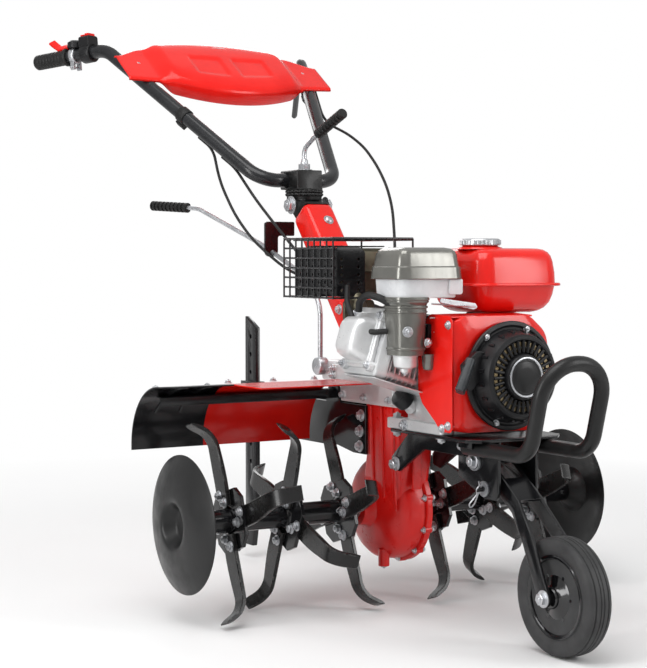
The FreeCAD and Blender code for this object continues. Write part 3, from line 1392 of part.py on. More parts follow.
def cables():
    cable("cable_throttle", [beside_arm(-1, 200), beside_arm(-1, 150),
                             Vector(-134, 446, 838),
                             Vector(-120, 404, 766), Vector(-106, 356, 716),
                             Vector(-92, 308, 682), Vector(-80, 262, 655),
                             Vector(-70, 205, 636)])
    cable("cable_stop", [beside_arm(-1, 120), beside_arm(-1, 75), Vector(-100, 352, 800),
                         Vector(-88, 300, 752), Vector(-78, 244, 706)])
    lug = clutch_lug()
    cable("cable_clutch", [lug, Vector(259.8, 733.3, 1119.8),
                           Vector(188.6, 546.8, 985.2), Vector(188, 440, 950),
                           Vector(188, 376, 918), Vector(172, 300, 874),
                           Vector(146, 222, 826), Vector(118, 158, 776),
                           Vector(92, 112, 716)])


def toothed(low, high):
    """The toothed rim of the swivel: a ring of points and notches between two levels."""
    count, reach = int(mm("swivel_teeth")), mm("swivel_radius")
    points = []
    for step in range(2 * count):
        angle = math.pi * step / count
        out = reach + (4 if step % 2 == 0 else 1)
        points.append(Vector(out * math.cos(angle), mm("swivel_y") + out * math.sin(angle), low))
    return prism(points, Vector(0, 0, high - low))


def swivel_head():
    """Serrated lower ring on the column, and the clamp that turns on it with the bar."""
    low = cylinder("swivel_ring", "swivel_radius", "z", "0", "swivel_y", "swivel_z - 16", "16")
    lean = mm("column_lean")
    foot = Vector(0, mm("column_foot_y"), mm("box_top"))
    top = foot + Vector(0, math.sin(math.radians(lean)), math.cos(math.radians(lean))) \
        * mm("column_length")
    back = Vector(0, -math.cos(math.radians(lean)), math.sin(math.radians(lean)))
    depth = mm("column_depth")
    half = mm("column_width / 2") - 6
    points = [top, top + back * depth, Vector(0, mm("swivel_y - swivel_radius + 6"),
                                              mm("swivel_z - 16")),
              Vector(0, mm("swivel_y + swivel_radius - 6"), mm("swivel_z - 16"))]
    neck = prism([p - Vector(half, 0, 0) for p in points], Vector(2 * half, 0, 0))
    teeth = toothed(mm("swivel_z") - 6, mm("swivel_z"))
    keep(fuse("column_head", [shaped("head_neck", neck), low, shaped("lower_teeth", teeth)]),
         "column_head")

    ring = cylinder("clamp_ring", "swivel_radius", "z", "0", "swivel_y",
                    "swivel_z + swivel_gap", "bar_z - bar_radius - 4 - swivel_z")
    block = box("clamp_block", ("-30", "swivel_y - 24", "bar_z - bar_radius - 4"),
                ("30", "bar_y + bar_radius + 8", "bar_z + bar_radius + 6"))
    tunnel = cylinder("clamp_tunnel", "bar_radius", "x", "-31", "bar_y", "bar_z", "62")
    base = mm("swivel_z + swivel_gap")
    solid = fuse("clamp_solid", [ring, block, shaped("upper_teeth", toothed(base, base + 6))])
    keep(cut("swivel_clamp", solid, [tunnel]), "swivel_clamp")


def build():
    tine_shaft()
    reels()
    disc("left", 1)
    disc("right", -1)
    gearcase()
    upper_gearbox()
    engine_bed()
    wheel_bracket()
    bumper()
    wheel_fork()
    wheel()
    engine_block()
    valve_cover()
    fan_shroud()
    starter()
    fuel_tank()
    air_cleaner()
    muffler()
    muffler_guard()
    column()
    fender("left", 1)
    fender("right", -1)
    fender_stay()
    hitch_bracket()
    depth_stake()
    handlebar()
    grips()
    swivel_head()
    handlebar_panel()
    throttle()
    switch_box()
    clutch_lever()
    clamp_lever()
    shift_lever()
    cables()


def check_and_export():
    doc.recompute()
    for item in doc.Objects:
        if {"Invalid", "Error"} & set(item.State):
            raise ValueError(f"{item.Label} failed: {item.State}")
    os.makedirs("parts", exist_ok=True)
    for item in nodes:
        if item.Shape.isNull() or not item.Shape.isValid():
            raise ValueError(f"{item.Label} has no valid shape")
        item.Shape.exportStep(f"parts/{item.Label}.step")
        print(item.Label, len(item.Shape.Solids), round(item.Shape.Volume / 1000, 1))


build()
check_and_export()
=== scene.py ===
import json
import math

import bmesh
import bpy
from mathutils import Matrix, Vector

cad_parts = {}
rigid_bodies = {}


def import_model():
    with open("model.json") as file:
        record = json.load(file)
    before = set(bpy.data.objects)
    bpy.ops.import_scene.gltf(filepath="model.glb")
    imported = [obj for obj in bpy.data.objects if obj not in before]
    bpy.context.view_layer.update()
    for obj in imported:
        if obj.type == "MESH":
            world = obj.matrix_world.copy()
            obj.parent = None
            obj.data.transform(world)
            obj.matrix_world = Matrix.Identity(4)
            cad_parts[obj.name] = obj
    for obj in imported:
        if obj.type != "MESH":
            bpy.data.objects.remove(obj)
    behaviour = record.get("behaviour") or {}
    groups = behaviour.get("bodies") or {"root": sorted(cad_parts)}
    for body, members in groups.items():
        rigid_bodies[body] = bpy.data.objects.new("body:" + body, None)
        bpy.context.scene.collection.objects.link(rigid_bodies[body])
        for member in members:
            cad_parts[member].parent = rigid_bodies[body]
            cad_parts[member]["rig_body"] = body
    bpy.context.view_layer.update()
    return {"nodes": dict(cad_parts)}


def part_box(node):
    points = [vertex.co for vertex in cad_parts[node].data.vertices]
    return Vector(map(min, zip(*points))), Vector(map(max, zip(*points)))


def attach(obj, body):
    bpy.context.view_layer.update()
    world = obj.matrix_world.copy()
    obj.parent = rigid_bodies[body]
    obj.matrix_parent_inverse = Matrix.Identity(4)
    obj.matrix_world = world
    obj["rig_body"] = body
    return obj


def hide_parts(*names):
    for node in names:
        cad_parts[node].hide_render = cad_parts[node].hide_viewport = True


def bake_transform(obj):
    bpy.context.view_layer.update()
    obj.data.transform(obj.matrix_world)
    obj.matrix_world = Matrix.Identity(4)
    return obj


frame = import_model()
nodes = frame["nodes"]
BACK = sum(corner.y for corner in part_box("tine_shaft")) / 2      # the tine axis


# ---- materials ----------------------------------------------------------------------------

def add(tree, kind, inputs=None, **settings):
    """Add a shader node whose inputs, by name or number, take a value or another's output."""
    node = tree.nodes.new("ShaderNode" + kind)
    for setting, value in settings.items():
        setattr(node, setting, value)
    for socket, value in (inputs or {}).items():
        if isinstance(value, bpy.types.NodeSocket):
            tree.links.new(value, node.inputs[socket])
        else:
            node.inputs[socket].default_value = value
    return node


def new_material(name):
    material = bpy.data.materials.new(name)
    material.use_nodes = True
    material.node_tree.nodes.clear()
    return material, material.node_tree


def noise(tree, scale, detail, stretch=None):
    source = add(tree, "TexCoord").outputs["Object"]
    if stretch:
        source = add(tree, "Mapping", {0: source, "Scale": stretch}).outputs[0]
    return add(tree, "TexNoise", {"Scale": scale, "Detail": detail, "Roughness": 0.55,
                                  "Vector": source}).outputs["Fac"]


def spread(tree, value, low, high, start=0.3, end=0.7):
    """Spread a texture's middle range over low to high."""
    return add(tree, "MapRange", {"Value": value, "From Min": start, "From Max": end,
                                  "To Min": low, "To Max": high}).outputs[0]


def blend_color(tree, factor, dark, light):
    """Mix two colours, each of them three numbers or another node's output."""
    dark, light = [color if isinstance(color, bpy.types.NodeSocket) else (*color, 1)
                   for color in (dark, light)]
    return add(tree, "Mix", {0: factor, 6: dark, 7: light}, data_type="RGBA").outputs[2]


def edge_wear(tree, amount, width=0.0016):
    """1 along worn edges: where a rounded normal leaves the true one, broken up by noise."""
    soft = add(tree, "Bevel", {"Radius": width}, samples=4).outputs[0]
    flat = add(tree, "NewGeometry").outputs["Normal"]
    dot = add(tree, "VectorMath", {0: soft, 1: flat}, operation="DOT_PRODUCT")
    edge = spread(tree, dot.outputs["Value"], 1, 0, 0.75, 0.97)
    broken = spread(tree, noise(tree, 60, 6), 0, 1, 0.62 - amount, 0.72 - amount)
    return add(tree, "Math", {0: edge, 1: broken}, operation="MULTIPLY").outputs[0]


def finish_off(tree, height, strength, distance, rounding, inputs):
    """End a material in a shader that is bumped over edges rounded by so many metres."""
    soft = add(tree, "Bevel", {"Radius": rounding}, samples=4).outputs[0]
    bump = add(tree, "Bump", {"Strength": strength, "Distance": distance, "Height": height,
                              "Normal": soft}).outputs[0]
    shader = add(tree, "BsdfPrincipled", {**inputs, "Normal": bump})
    add(tree, "OutputMaterial", {0: shader.outputs[0]})


def paint(name, dark, light, rough, coat, peel=0.12, wear=0.0, grain=420):
    """Sprayed enamel: slight colour drift, orange-peel, uneven gloss and rubbed edges."""
    material, tree = new_material(name)
    color = blend_color(tree, spread(tree, noise(tree, 9, 5), 0, 1), dark, light)
    if wear:
        color = blend_color(tree, edge_wear(tree, wear), color, (0.42, 0.41, 0.4))
    gloss = spread(tree, noise(tree, 35, 6), rough * 0.8, rough * 1.3)
    finish_off(tree, noise(tree, grain, 3), peel, 0.0004, 0.0012,
               {"Base Color": color, "Roughness": gloss, "Specular IOR Level": 0.3,
                "Coat Weight": coat, "Coat Roughness": 0.12})
    return material


def metal(name, dark, light, rough, grain=(1, 1, 1), scale=180, depth=0.15, shine=1.0):
    """Metal, or a metallic plastic, whose grain runs along the axis that isn't stretched."""
    material, tree = new_material(name)
    color = blend_color(tree, spread(tree, noise(tree, 14, 6), 0, 1), dark, light)
    streak = noise(tree, scale, 6, grain)
    gloss = spread(tree, streak, rough * 0.75, rough * 1.35)
    finish_off(tree, streak, depth, 0.0003, 0.0008,
               {"Base Color": color, "Roughness": gloss, "Metallic": shine})
    return material


def moulded(name, dark, light, rough, grain=900, depth=0.2, through=0.0):
    """Moulded plastic or rubber with a fine texture."""
    material, tree = new_material(name)
    color = blend_color(tree, spread(tree, noise(tree, 20, 5), 0, 1), dark, light)
    gloss = spread(tree, noise(tree, 60, 5), rough * 0.85, rough * 1.15)
    finish_off(tree, noise(tree, grain, 2), depth, 0.0003, 0.0008,
               {"Base Color": color, "Roughness": gloss, "Specular IOR Level": 0.3,
                "Subsurface Weight": through, "Subsurface Radius": (0.02, 0.02, 0.02)})
    return material


RED = paint("red enamel", (0.7, 0.008, 0.005), (0.8, 0.014, 0.008), 0.2, 0.25)
RED_CAST = paint("red cast", (0.56, 0.006, 0.005), (0.74, 0.012, 0.008), 0.3, 0.25, 0.6,
                 grain=260)
RED_PLASTIC = moulded("red plastic", (0.74, 0.009, 0.006), (0.82, 0.015, 0.01), 0.18, 500,
                      0.05)
BLACK = paint("black enamel", (0.004, 0.004, 0.005), (0.009, 0.009, 0.01), 0.2, 0.3, 0.15,
              0.02)
RIM_BLACK = paint("rim enamel", (0.003, 0.003, 0.0035), (0.006, 0.006, 0.007), 0.12, 0.8, 0.1)
BLACK_WORN = paint("tine enamel", (0.005, 0.005, 0.006), (0.014, 0.013, 0.012), 0.26, 0.2,
                   0.25, 0.12)
BLACK_CAST = paint("black cast", (0.006, 0.006, 0.006), (0.014, 0.014, 0.014), 0.36, 0.1,
                   0.7, 0.03, grain=240)
BLACK_SATIN = paint("black satin", (0.0045, 0.0045, 0.005), (0.011, 0.011, 0.011), 0.38, 0.1, 0.15)
TUBE = paint("tube enamel", (0.009, 0.0095, 0.011), (0.018, 0.019, 0.021), 0.28, 0.25, 0.15)
ALUMINIUM = metal("cast aluminium", (0.6, 0.61, 0.62), (0.8, 0.8, 0.8), 0.36, scale=330,
                  depth=0.3, shine=0.55)
STEEL = metal("steel", (0.5, 0.5, 0.51), (0.7, 0.7, 0.7), 0.3, (1, 1, 8))
ZINC = metal("bright zinc", (0.42, 0.43, 0.45), (0.62, 0.63, 0.65), 0.32, scale=60,
             depth=0.02, shine=0.85)
SMOKED = metal("sooted steel", (0.06, 0.055, 0.04), (0.2, 0.18, 0.13), 0.42, scale=120)
BRONZE = metal("fan bronze", (0.2, 0.15, 0.08), (0.4, 0.32, 0.2), 0.4, scale=200)
BLACK_PLASTIC = moulded("black plastic", (0.005, 0.005, 0.006), (0.011, 0.011, 0.012), 0.34)
GREY_PLASTIC = metal("smoked plastic", (0.15, 0.15, 0.138), (0.23, 0.225, 0.205), 0.2,
                     (1, 1, 0.05), 90, 0.05, shine=0.6)
SLATE = moulded("slate plastic", (0.03, 0.034, 0.038), (0.05, 0.054, 0.058), 0.3)
CLOUDY = moulded("cloudy plastic", (0.66, 0.67, 0.69), (0.8, 0.81, 0.82), 0.26, 700, 0.1,
                 through=0.35)
RUBBER = moulded("grip rubber", (0.006, 0.006, 0.006), (0.014, 0.014, 0.014), 0.5, 800, 0.4)
TYRE = moulded("tyre rubber", (0.03, 0.03, 0.031), (0.055, 0.055, 0.056), 0.55, 500, 0.4)
LOOKS = {RED: "fender_left fender_right", STEEL: "tine_shaft",
         BLACK: "fender_wing_left fender_wing_right"}


def dress(mesh, material):
    mesh.materials.clear()
    mesh.materials.append(material)


for material, names in LOOKS.items():
    for name in names.split():
        dress(nodes[name].data, material)


# ---- mesh tools ---------------------------------------------------------------------------

X, Y, Z = Vector((1, 0, 0)), Vector((0, 1, 0)), Vector((0, 0, 1))
SIDES = ((-1, "right"), (1, "left"))
CORNERS = ((-1, -1), (-1, 1), (1, -1), (1, 1))
CRANK = 469      # the crankshaft's height, as REEL is the tine shaft's
REEL = 187
ARC_SHARE = 0.49      # the most of a side's length that the arc at one end may take
bench = bmesh.new()      # the mesh the tools below add to, until build() makes it a piece


def at(x, y, z):
    """A point in metres, given in millimetres from the floor below the tine shaft's middle."""
    return Vector((x / 1000, y / 1000 + BACK, z / 1000))


PLANES = {"x": lambda along, u, v: at(along, u, v),
          "y": lambda along, u, v: at(u, along, v),
          "z": lambda along, u, v: at(u, v, along)}


def polar(degrees, radius=1):
    angle = math.radians(degrees)
    return radius * math.cos(angle), radius * math.sin(angle)


def show(name, mesh, material, body, slot, stands_for, edge=0, segments=2, smooth=30):
    thing = bpy.data.objects.new(name, mesh)
    bpy.context.scene.collection.objects.link(thing)
    dress(mesh, material)
    mesh.shade_smooth()
    if edge:
        bevel = thing.modifiers.new("edges", "BEVEL")
        bevel.width = edge / 1000
        bevel.segments = segments
        bevel.limit_method = "ANGLE"
        bevel.angle_limit = math.radians(smooth)
        bevel.harden_normals = True
    else:
        mesh.set_sharp_from_angle(angle=math.radians(smooth))
    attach(thing, body)
    if stands_for:
        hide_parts(*stands_for.split())
    return thing


def build(name, material, stands_for="", body="chassis", slot=None, **look):
    """Make what is on the bench a piece, and clear the bench."""
    bmesh.ops.remove_doubles(bench, verts=bench.verts, dist=0.00001)
    bmesh.ops.recalc_face_normals(bench, faces=bench.faces)
    mesh = bpy.data.meshes.new(name)
    bench.to_mesh(mesh)
    bench.clear()
    return show(name, mesh, material, body, slot, stands_for, **look)


def corner_arc(before, corner, after, radius):
    """The arc that rounds a corner: its centre, radius, and start and end from the centre."""
    back, ahead = before - corner, after - corner
    half = back.angle(ahead) / 2
    reach = min(radius / math.tan(half), ARC_SHARE * min(back.length, ahead.length))
    size = reach * math.tan(half)
    u, v = back.normalized(), ahead.normalized()
    centre = corner + (u + v).normalized() * size / math.sin(half)
    return centre, size, corner + u * reach - centre, corner + v * reach - centre


def rounded(corners, steps=6):
    """Points round a polygon whose corners (x, y, radius) are turned by arcs."""
    points = []
    for number, (x, y, *radius) in enumerate(corners):
        corner = Vector((x, y))
        if not radius:
            points.append(corner)
            continue
        before, after = corners[number - 1][:2], corners[(number + 1) % len(corners)][:2]
        centre, size, start, end = corner_arc(Vector(before), corner, Vector(after), radius[0])
        angle = math.atan2(start.y, start.x)
        turned = (math.atan2(end.y, end.x) - angle + math.pi) % (2 * math.pi) - math.pi
        for step in range(steps + 1):
            way = angle + turned * step / steps
            points.append(centre + Vector((math.cos(way), math.sin(way))) * size)
    return points


def oblong(low_u, low_v, high_u, high_v, corner, steps=6):
    """Points round a rectangle with equally rounded corners."""
    return rounded([(low_u, low_v, corner), (high_u, low_v, corner),
                    (high_u, high_v, corner), (low_u, high_v, corner)], steps)


def mirrored(half):
    """A profile with its first half's mirror image after it."""
    return half + [(-along, radius) for along, radius in half[::-1]]


def loft(rings, cap_start=True, cap_end=True):
    """Skin rings of points, each with the same count."""
    rows = [[bench.verts.new(point) for point in ring] for ring in rings]
    count = len(rows[0])
    for low, high in zip(rows, rows[1:]):
        for number in range(count):
            after = (number + 1) % count
            bench.faces.new((low[number], low[after], high[after], high[number]))
    if cap_start:
        bench.faces.new(rows[0][::-1])
    if cap_end:
        bench.faces.new(rows[-1])


THIN = 0.01      # a radius for the points on an axis, so that each ring stays open


def lathe(profile, axis, centre, steps=64):
    """Turn (along, radius) points about an axis through the centre's two coordinates."""
    rows = []
    for along, radius in profile:
        ring = [polar(360 * step / steps, max(radius, THIN)) for step in range(steps)]
        rows.append([PLANES[axis](along, centre[0] + u, centre[1] + v) for u, v in ring])
    loft(rows, profile[0][1] > THIN, profile[-1][1] > THIN)


def slab(corners, axis, low, high):
    """A straight piece on a rounded outline, between two planes across an axis."""
    points = rounded(corners)
    loft([[PLANES[axis](along, p.x, p.y) for p in points] for along in (low, high)])


def plate(name, corners, holes, axis, low, high, material, edge=0.6):
    """A flat piece with round holes (u, v, radius), its edges broken all round."""
    curve = bpy.data.curves.new(name, "CURVE")
    curve.dimensions = "2D"
    curve.fill_mode = "BOTH"
    curve.extrude = abs(high - low) / 2 - edge
    curve.bevel_depth = edge
    curve.bevel_resolution = 1
    curve.offset = -edge
    outlines = [rounded(corners)]
    for u, v, radius in holes:
        turns = [2 * math.pi * step / 24 for step in range(24)]
        outlines.append([Vector((u + radius * math.cos(turn), v + radius * math.sin(turn)))
                         for turn in turns])
    for outline in outlines:
        spline = curve.splines.new("POLY")
        spline.points.add(len(outline) - 1)
        for point, target in zip(spline.points, outline):
            point.co = (target.x, target.y, 0, 1)
        spline.use_cyclic_u = True
    thing = bpy.data.objects.new(name, curve)
    mesh = bpy.data.meshes.new_from_object(thing)
    bpy.data.objects.remove(thing)
    middle = (low + high) / 2
    for vertex in mesh.vertices:
        vertex.co = PLANES[axis](middle + vertex.co.z, vertex.co.x, vertex.co.y)
    return show(name, mesh, material, "chassis", None, "")


def turned_route(points, bends):
    """A path through points whose inner corners are arcs of radii in millimetres."""
    path = [points[0]]
    for before, corner, after, radius in zip(points, points[1:], points[2:], bends):
        centre, _, start, end = corner_arc(before, corner, after, radius / 1000)
        axis = start.cross(end).normalized()
        for step in range(13):
            path.append(centre + Matrix.Rotation(start.angle(end) * step / 12, 3, axis) @ start)
    return path + [points[-1]]


def sweep(path, radius, sides=20, shape=None):
    """Carry a round or given section along a path without twisting it."""
    shape = shape or [(radius * math.cos(2 * math.pi * s / sides) / 1000,
                       radius * math.sin(2 * math.pi * s / sides) / 1000)
                      for s in range(sides)]
    rings, across = [], path[1] - path[0]
    across = across.normalized().orthogonal().normalized()
    for before, point, after in zip(path[:1] + path, path, path[1:] + path[-1:]):
        ahead = (after - before).normalized()
        across = (across - ahead * across.dot(ahead)).normalized()
        other = ahead.cross(across)
        rings.append([point + across * u + other * v for u, v in shape])
    loft(rings)


def rod(start, end, radius, sides=20):
    sweep([start, end], radius, sides)


def tube(points, bends, radius, sides=20):
    """A round tube through points in millimetres, bent by arcs; gives its points in metres."""
    points = [at(*point) for point in points]
    sweep(turned_route(points, bends), radius, sides)
    return points


def stack(ring, rows, cap_start=True):
    """Skin the rings that a function makes of the rows' values."""
    loft([ring(*row) for row in rows], cap_start)


def turn(profile, start, direction, steps=32):
    """Turn (distance, radius) points in millimetres about a line from start."""
    direction = direction.normalized()
    side = direction.orthogonal().normalized()
    other = direction.cross(side)
    rings = []
    for distance, radius in profile:
        middle = start + direction * distance / 1000
        rings.append([middle + (side * math.cos(2 * math.pi * s / steps)
                                + other * math.sin(2 * math.pi * s / steps))
                      * max(radius, THIN) / 1000 for s in range(steps)])
    loft(rings, profile[0][1] > THIN, profile[-1][1] > THIN)


def hexagon(place, direction, across, height, washer=1.6):
    """A hexagon head or nut on a flat washer, with its bolt's end, seated at place."""
    head, stem, top = across / 2 / math.cos(math.pi / 6), across * 0.24, washer + height
    turn([(0, across * 0.78), (washer * 0.7, across * 0.8), (washer, across * 0.76)], place,
         direction, 20)
    turn([(washer - 0.2, head * 0.97), (washer + 0.5, head), (top - 1, head),
          (top, head * 0.86)], place, direction, 6)
    turn([(top - 0.2, stem), (top + 1.6, stem), (top + 2.4, across * 0.16)], place,
         direction, 16)


# ---- fuel tank and air cleaner ------------------------------------------------------------

def layered(name, low, high, layers, corner, material, stands_for="", smooth=40):
    """A form made of rounded rectangles at (height, inset) layers."""
    rings = []
    for level, inset in layers:
        points = oblong(low[0] + inset, low[1] + inset, high[0] - inset, high[1] - inset,
                        max(corner - inset * 0.6, 3))
        rings.append([at(p.x, p.y, level) for p in points])
    loft(rings)
    build(name, material, stands_for, smooth=smooth)


tank_low, tank_high = (-36, -354), (152, -182)
layered("tank_upper", tank_low, tank_high,
        [(629, 1), (650, 2), (670, 5), (680, 8), (687, 13), (691.5, 20), (693.5, 30),
         (694, 42), (694.5, 80)], 34, RED, "fuel_tank")
layered("tank_lower", tank_low, tank_high,
        [(576.5, 52), (577, 40), (580, 28), (586, 18), (596, 10), (610, 5), (626, 2),
         (629, 1)], 34, RED)
layered("tank_seam", tank_low, tank_high,
        [(625.5, 2), (625.5, -7), (626.3, -8.6), (628, -9), (630, -8.6), (631, -7.4), (631, 1)],
        38, RED, smooth=50)
cap = (12, -288)
lathe([(692, 42), (695, 40), (696.5, 36), (697, 33), (700, 31), (702, 31)], "z", cap, 64)
build("tank_filler", RED)
lathe([(699, 30), (699, 35.5), (700, 36.5), (708, 36.5), (710.5, 35), (711.5, 32), (711.5, 27),
       (710.5, 25), (710.8, 0)], "z", cap, 72)
for number in range(30):
    u, v = polar(number * 12, 36.4)
    place = at(cap[0] + u, cap[1] + v, 700.5)
    rod(place, place + Z * 0.008, 1.6, 8)
build("tank_cap", ZINC, "fuel_cap")

clean_low, clean_high = (-196, -341), (-59, -233)
layered("cleaner_cap", clean_low, clean_high,
        [(644, 3), (640, 1), (639, -1), (640.5, -2), (660, 0), (662, 2), (664, 2.5), (683, 6),
         (689, 9), (693, 15), (695, 26), (695, 52)], 22, GREY_PLASTIC, "air_cleaner",
        28)
layered("cleaner_band", clean_low, clean_high, [(606, 12), (606, 9), (608, 7.5), (641, 5.5)], 22,
        CLOUDY, smooth=28)
slab([(-92, 639, 2), (-62, 639, 2), (-62, 612, 5), (-92, 612, 5)], "y", -338, -330)
build("cleaner_latch", CLOUDY, edge=1.5)

duct_low, duct_high = (-190, -335), (-126, -262)
layered("duct", duct_low, duct_high,
        [(505, 6), (506, 3), (514, 2.6), (516, 0.6), (518, 0.6), (520, 2.6), (560, 1.5),
         (580, 0.5), (581, -1), (583, -1), (584, 0.5), (588, 0.5), (589, -1.4), (592, -1.4),
         (593, 0.5), (597, -1), (599, -3), (602, -3), (603, -4), (608, -4)],
        24, GREY_PLASTIC, "air_duct", 28)
hexagon(at(-178, -335, 548), Vector((-0.3, -1, 0)), 12, 6)
hexagon(at(-136, -335, 528), Vector((0.2, -1, 0)), 11, 5)
build("duct_screws", ZINC)


# ---- carburettor and its linkage ----------------------------------------------------------

lathe([(482, 8), (482.5, 14), (485, 19), (490, 21), (503, 21.5), (505, 23), (507, 23), (507, 8)],
      "z", (-163, -306), 48)
lathe([(474, 5), (476, 9), (482, 9.5), (484, 9)], "z", (-163, -306), 24)
build("float_bowl", ALUMINIUM, "carburettor")
lathe([(478, 4), (480, 9), (486, 11), (502, 12), (506, 13), (507, 13)], "z", (-122, -318), 32)
build("sediment_cup", GREY_PLASTIC)
hexagon(at(-163, -306, 478), -Z, 10, 5, 1)
build("bowl_screw", ZINC)
slab([(-126, 560, 3), (-96, 560, 3), (-96, 520, 3), (-126, 520, 3)], "y", -322, -290)
slab([(-118, 575, 2), (-104, 575, 2), (-104, 560, 2), (-118, 560, 2)], "y", -318, -296)
build("choke_box", BLACK_PLASTIC, edge=1)
rod(at(-128, -330, 571), at(-78, -338, 572), 1.6)
rod(at(-124, -330, 596), at(-40, -346, 590), 1.5)
rod(at(-118, -330, 545), at(-112, -330, 575), 1.5)
slab([(-112, 606, 4), (-36, 596, 4), (-30, 588, 4), (-40, 585, 3), (-112, 598, 4)], "y", -340,
     -338)
build("governor_links", ZINC, edge=0.4)


# ---- fan shroud and recoil starter --------------------------------------------------------

side = [(-385, 571), (-372, 574), (-318, 576), (-281, 553), (-281, 440), (-294, 418),
        (-334, 388), (-350, 372), (-385, 372)]
front = rounded([(-114, 384, 12), (-92, 371, 20), (66, 369, 26), (94, 400, 40), (96, 540, 44),
                 (54, 575, 36), (-96, 575, 14), (-116, 565, 12)], 8)


def shroud_ring(depth, grow):
    """The shroud's outline at a depth, grown from the crankshaft's line."""
    return [at(p.x + grow * (1 if p.x > 0 else -1), depth, p.y) for p in front]


inner = [at(78 * math.cos(a), -385, CRANK + 78 * math.sin(a))
         for a in [math.atan2(p.y - CRANK, p.x) for p in front]]
middle_ring = [point.lerp(outer, 0.55) - Y * 0.004
               for point, outer in zip(inner, shroud_ring(-385, 0))]
loft([inner, middle_ring, shroud_ring(-384, -7), shroud_ring(-381, -2), shroud_ring(-374, 0),
      shroud_ring(-345, 0)], False, False)
build("shroud_front", RED, "fan_shroud", smooth=32)
slab([(y, z, 9) for y, z in side], "x", -119, -117)
build("shroud_side", RED, edge=0.8)
slab([(-380, 575, 2), (-318, 578, 20), (-281, 556, 3), (-281, 553, 2), (-316, 574.5, 20),
      (-380, 572, 2)], "x", -118, 60)
build("shroud_top", RED, edge=0.6)

lathe([(-385, 80), (-392, 96), (-397, 97), (-399, 95.5), (-399.5, 90), (-397, 86), (-397, 83),
       (-403, 81), (-420, 78), (-431, 74), (-434, 70), (-434, 66), (-431, 63.5), (-429, 62),
       (-429, 43), (-433, 41), (-439, 40), (-441, 38), (-441, 34)], "y", (0, CRANK), 96)
build("starter_body", BLACK_PLASTIC, "starter", smooth=24)
lathe([(-428.5, 62), (-429.5, 61), (-429.5, 44), (-428.5, 43)], "y", (0, CRANK), 72)
build("starter_fan", BRONZE)
for number in range(32):
    u, v = polar(number * 11.25)
    sweep([at(r * u, -431.5, CRANK + r * v) for r in (43, 46, 60, 64)], 3.1, 8)
lathe([(-429, 50.5), (-432, 51), (-432, 53), (-429, 53.5)], "y", (0, CRANK), 64)
build("starter_ribs", BLACK_PLASTIC, smooth=50)
for number in range(20):
    u, v = polar(number * 18 + 9)
    sweep([at(79 * u, -409, CRANK + 79 * v), at(78 * u, -421, CRANK + 78 * v)], 3.2, 8)
build("starter_vents", BLACK_PLASTIC, smooth=50)
lathe([(-440, 36), (-442.4, 35.5), (-442.8, 33.5), (-441.6, 32), (-440, 32)], "y", (0, CRANK),
      72)
build("starter_ring", ZINC)
lathe([(-439, 34), (-440.6, 32.5), (-441.4, 29), (-441, 28), (-441.2, 27), (-442.2, 24),
       (-442.8, 14), (-443, 4), (-443, 0)], "y", (0, CRANK), 72)
build("starter_face", BLACK_SATIN, smooth=40)
for angle in range(-52, 308, 60):
    u, v = polar(angle, 89)
    hexagon(at(u, -397.5, CRANK + v), -Y, 9, 4, 1)
for y, z in ((-374, 384), (-356, 378), (-374, 560)):
    hexagon(at(-119, y, z), -X, 10, 4, 1.4)
build("starter_screws", ZINC)
start, end = at(-92, -404, 500), at(-122, -412, 446)
sweep([start.lerp(end, s) for s in (0, 0.03, 0.06, 0.94, 0.97, 1)], 1, 4,
      shape=oblong(-0.011, -0.008, 0.011, 0.008, 0.005, 5))
build("starter_handle", SLATE, edge=1.5, smooth=50)
slab([(-112, 492, 6), (-82, 516, 10), (-60, 512, 6), (-72, 470, 12), (-92, 448, 10),
      (-104, 446, 6)], "y", -410, -397)
build("handle_guide", BLACK_PLASTIC, edge=1.5)


# ---- valve cover --------------------------------------------------------------------------

TILT = math.radians(17)
BORE = -226      # the cylinder's middle, front to rear


def up_cylinder(u, y, w):
    """A point by its distance out along the cylinder, across it, and above its middle."""
    return at(-u * math.cos(TILT) + w * math.sin(TILT), y,
              CRANK + u * math.sin(TILT) + w * math.cos(TILT))


def cylinder_ring(u, half_y, half_w, corner):
    points = oblong(-half_y, -half_w, half_y, half_w, corner)
    return [up_cylinder(u, BORE + p.x, p.y) for p in points]


stack(cylinder_ring, ((211, 36, 41, 12), (213, 35, 40, 13), (232, 33, 37, 14), (241, 31, 34, 15),
                      (247, 27, 29, 15), (250, 20, 21, 14), (250.6, 8, 8, 6)), False)
build("rocker_dome", ALUMINIUM, "valve_cover", smooth=50)
stack(cylinder_ring, ((203.5, 43, 48, 15), (205, 44.5, 49.5, 16), (210, 44.5, 49.5, 16),
                      (211.5, 43, 48, 15)))
stack(cylinder_ring, ((211, 39, 44, 13), (213, 38.5, 43.5, 13), (213.6, 36, 41, 12)))
for y, w in CORNERS:
    start = up_cylinder(203.5, BORE + 41 * y, 46 * w)
    rod(start, up_cylinder(214, BORE + 41 * y, 46 * w), 9.5, 24)
build("rocker_flange", ALUMINIUM, edge=0.8, smooth=50)
out = up_cylinder(1, 0, 0) - up_cylinder(0, 0, 0)
for y, w in CORNERS:
    hexagon(up_cylinder(214, BORE + 41 * y, 46 * w), out, 9, 5, 1.2)
build("rocker_bolts", ZINC)
tube([(-207, -222, 581), (-208, -226, 600), (-207, -250, 612), (-196, -276, 606),
      (-182, -296, 592)], [20, 30, 40], 6.5)
tube([(-205, -180, 626), (-213, -192, 596), (-214, -222, 556), (-206, -262, 545),
      (-186, -286, 548)], [40, 40, 40], 5)
build("breather_hose", RUBBER, smooth=60)


# ---- muffler and its guard ----------------------------------------------------------------

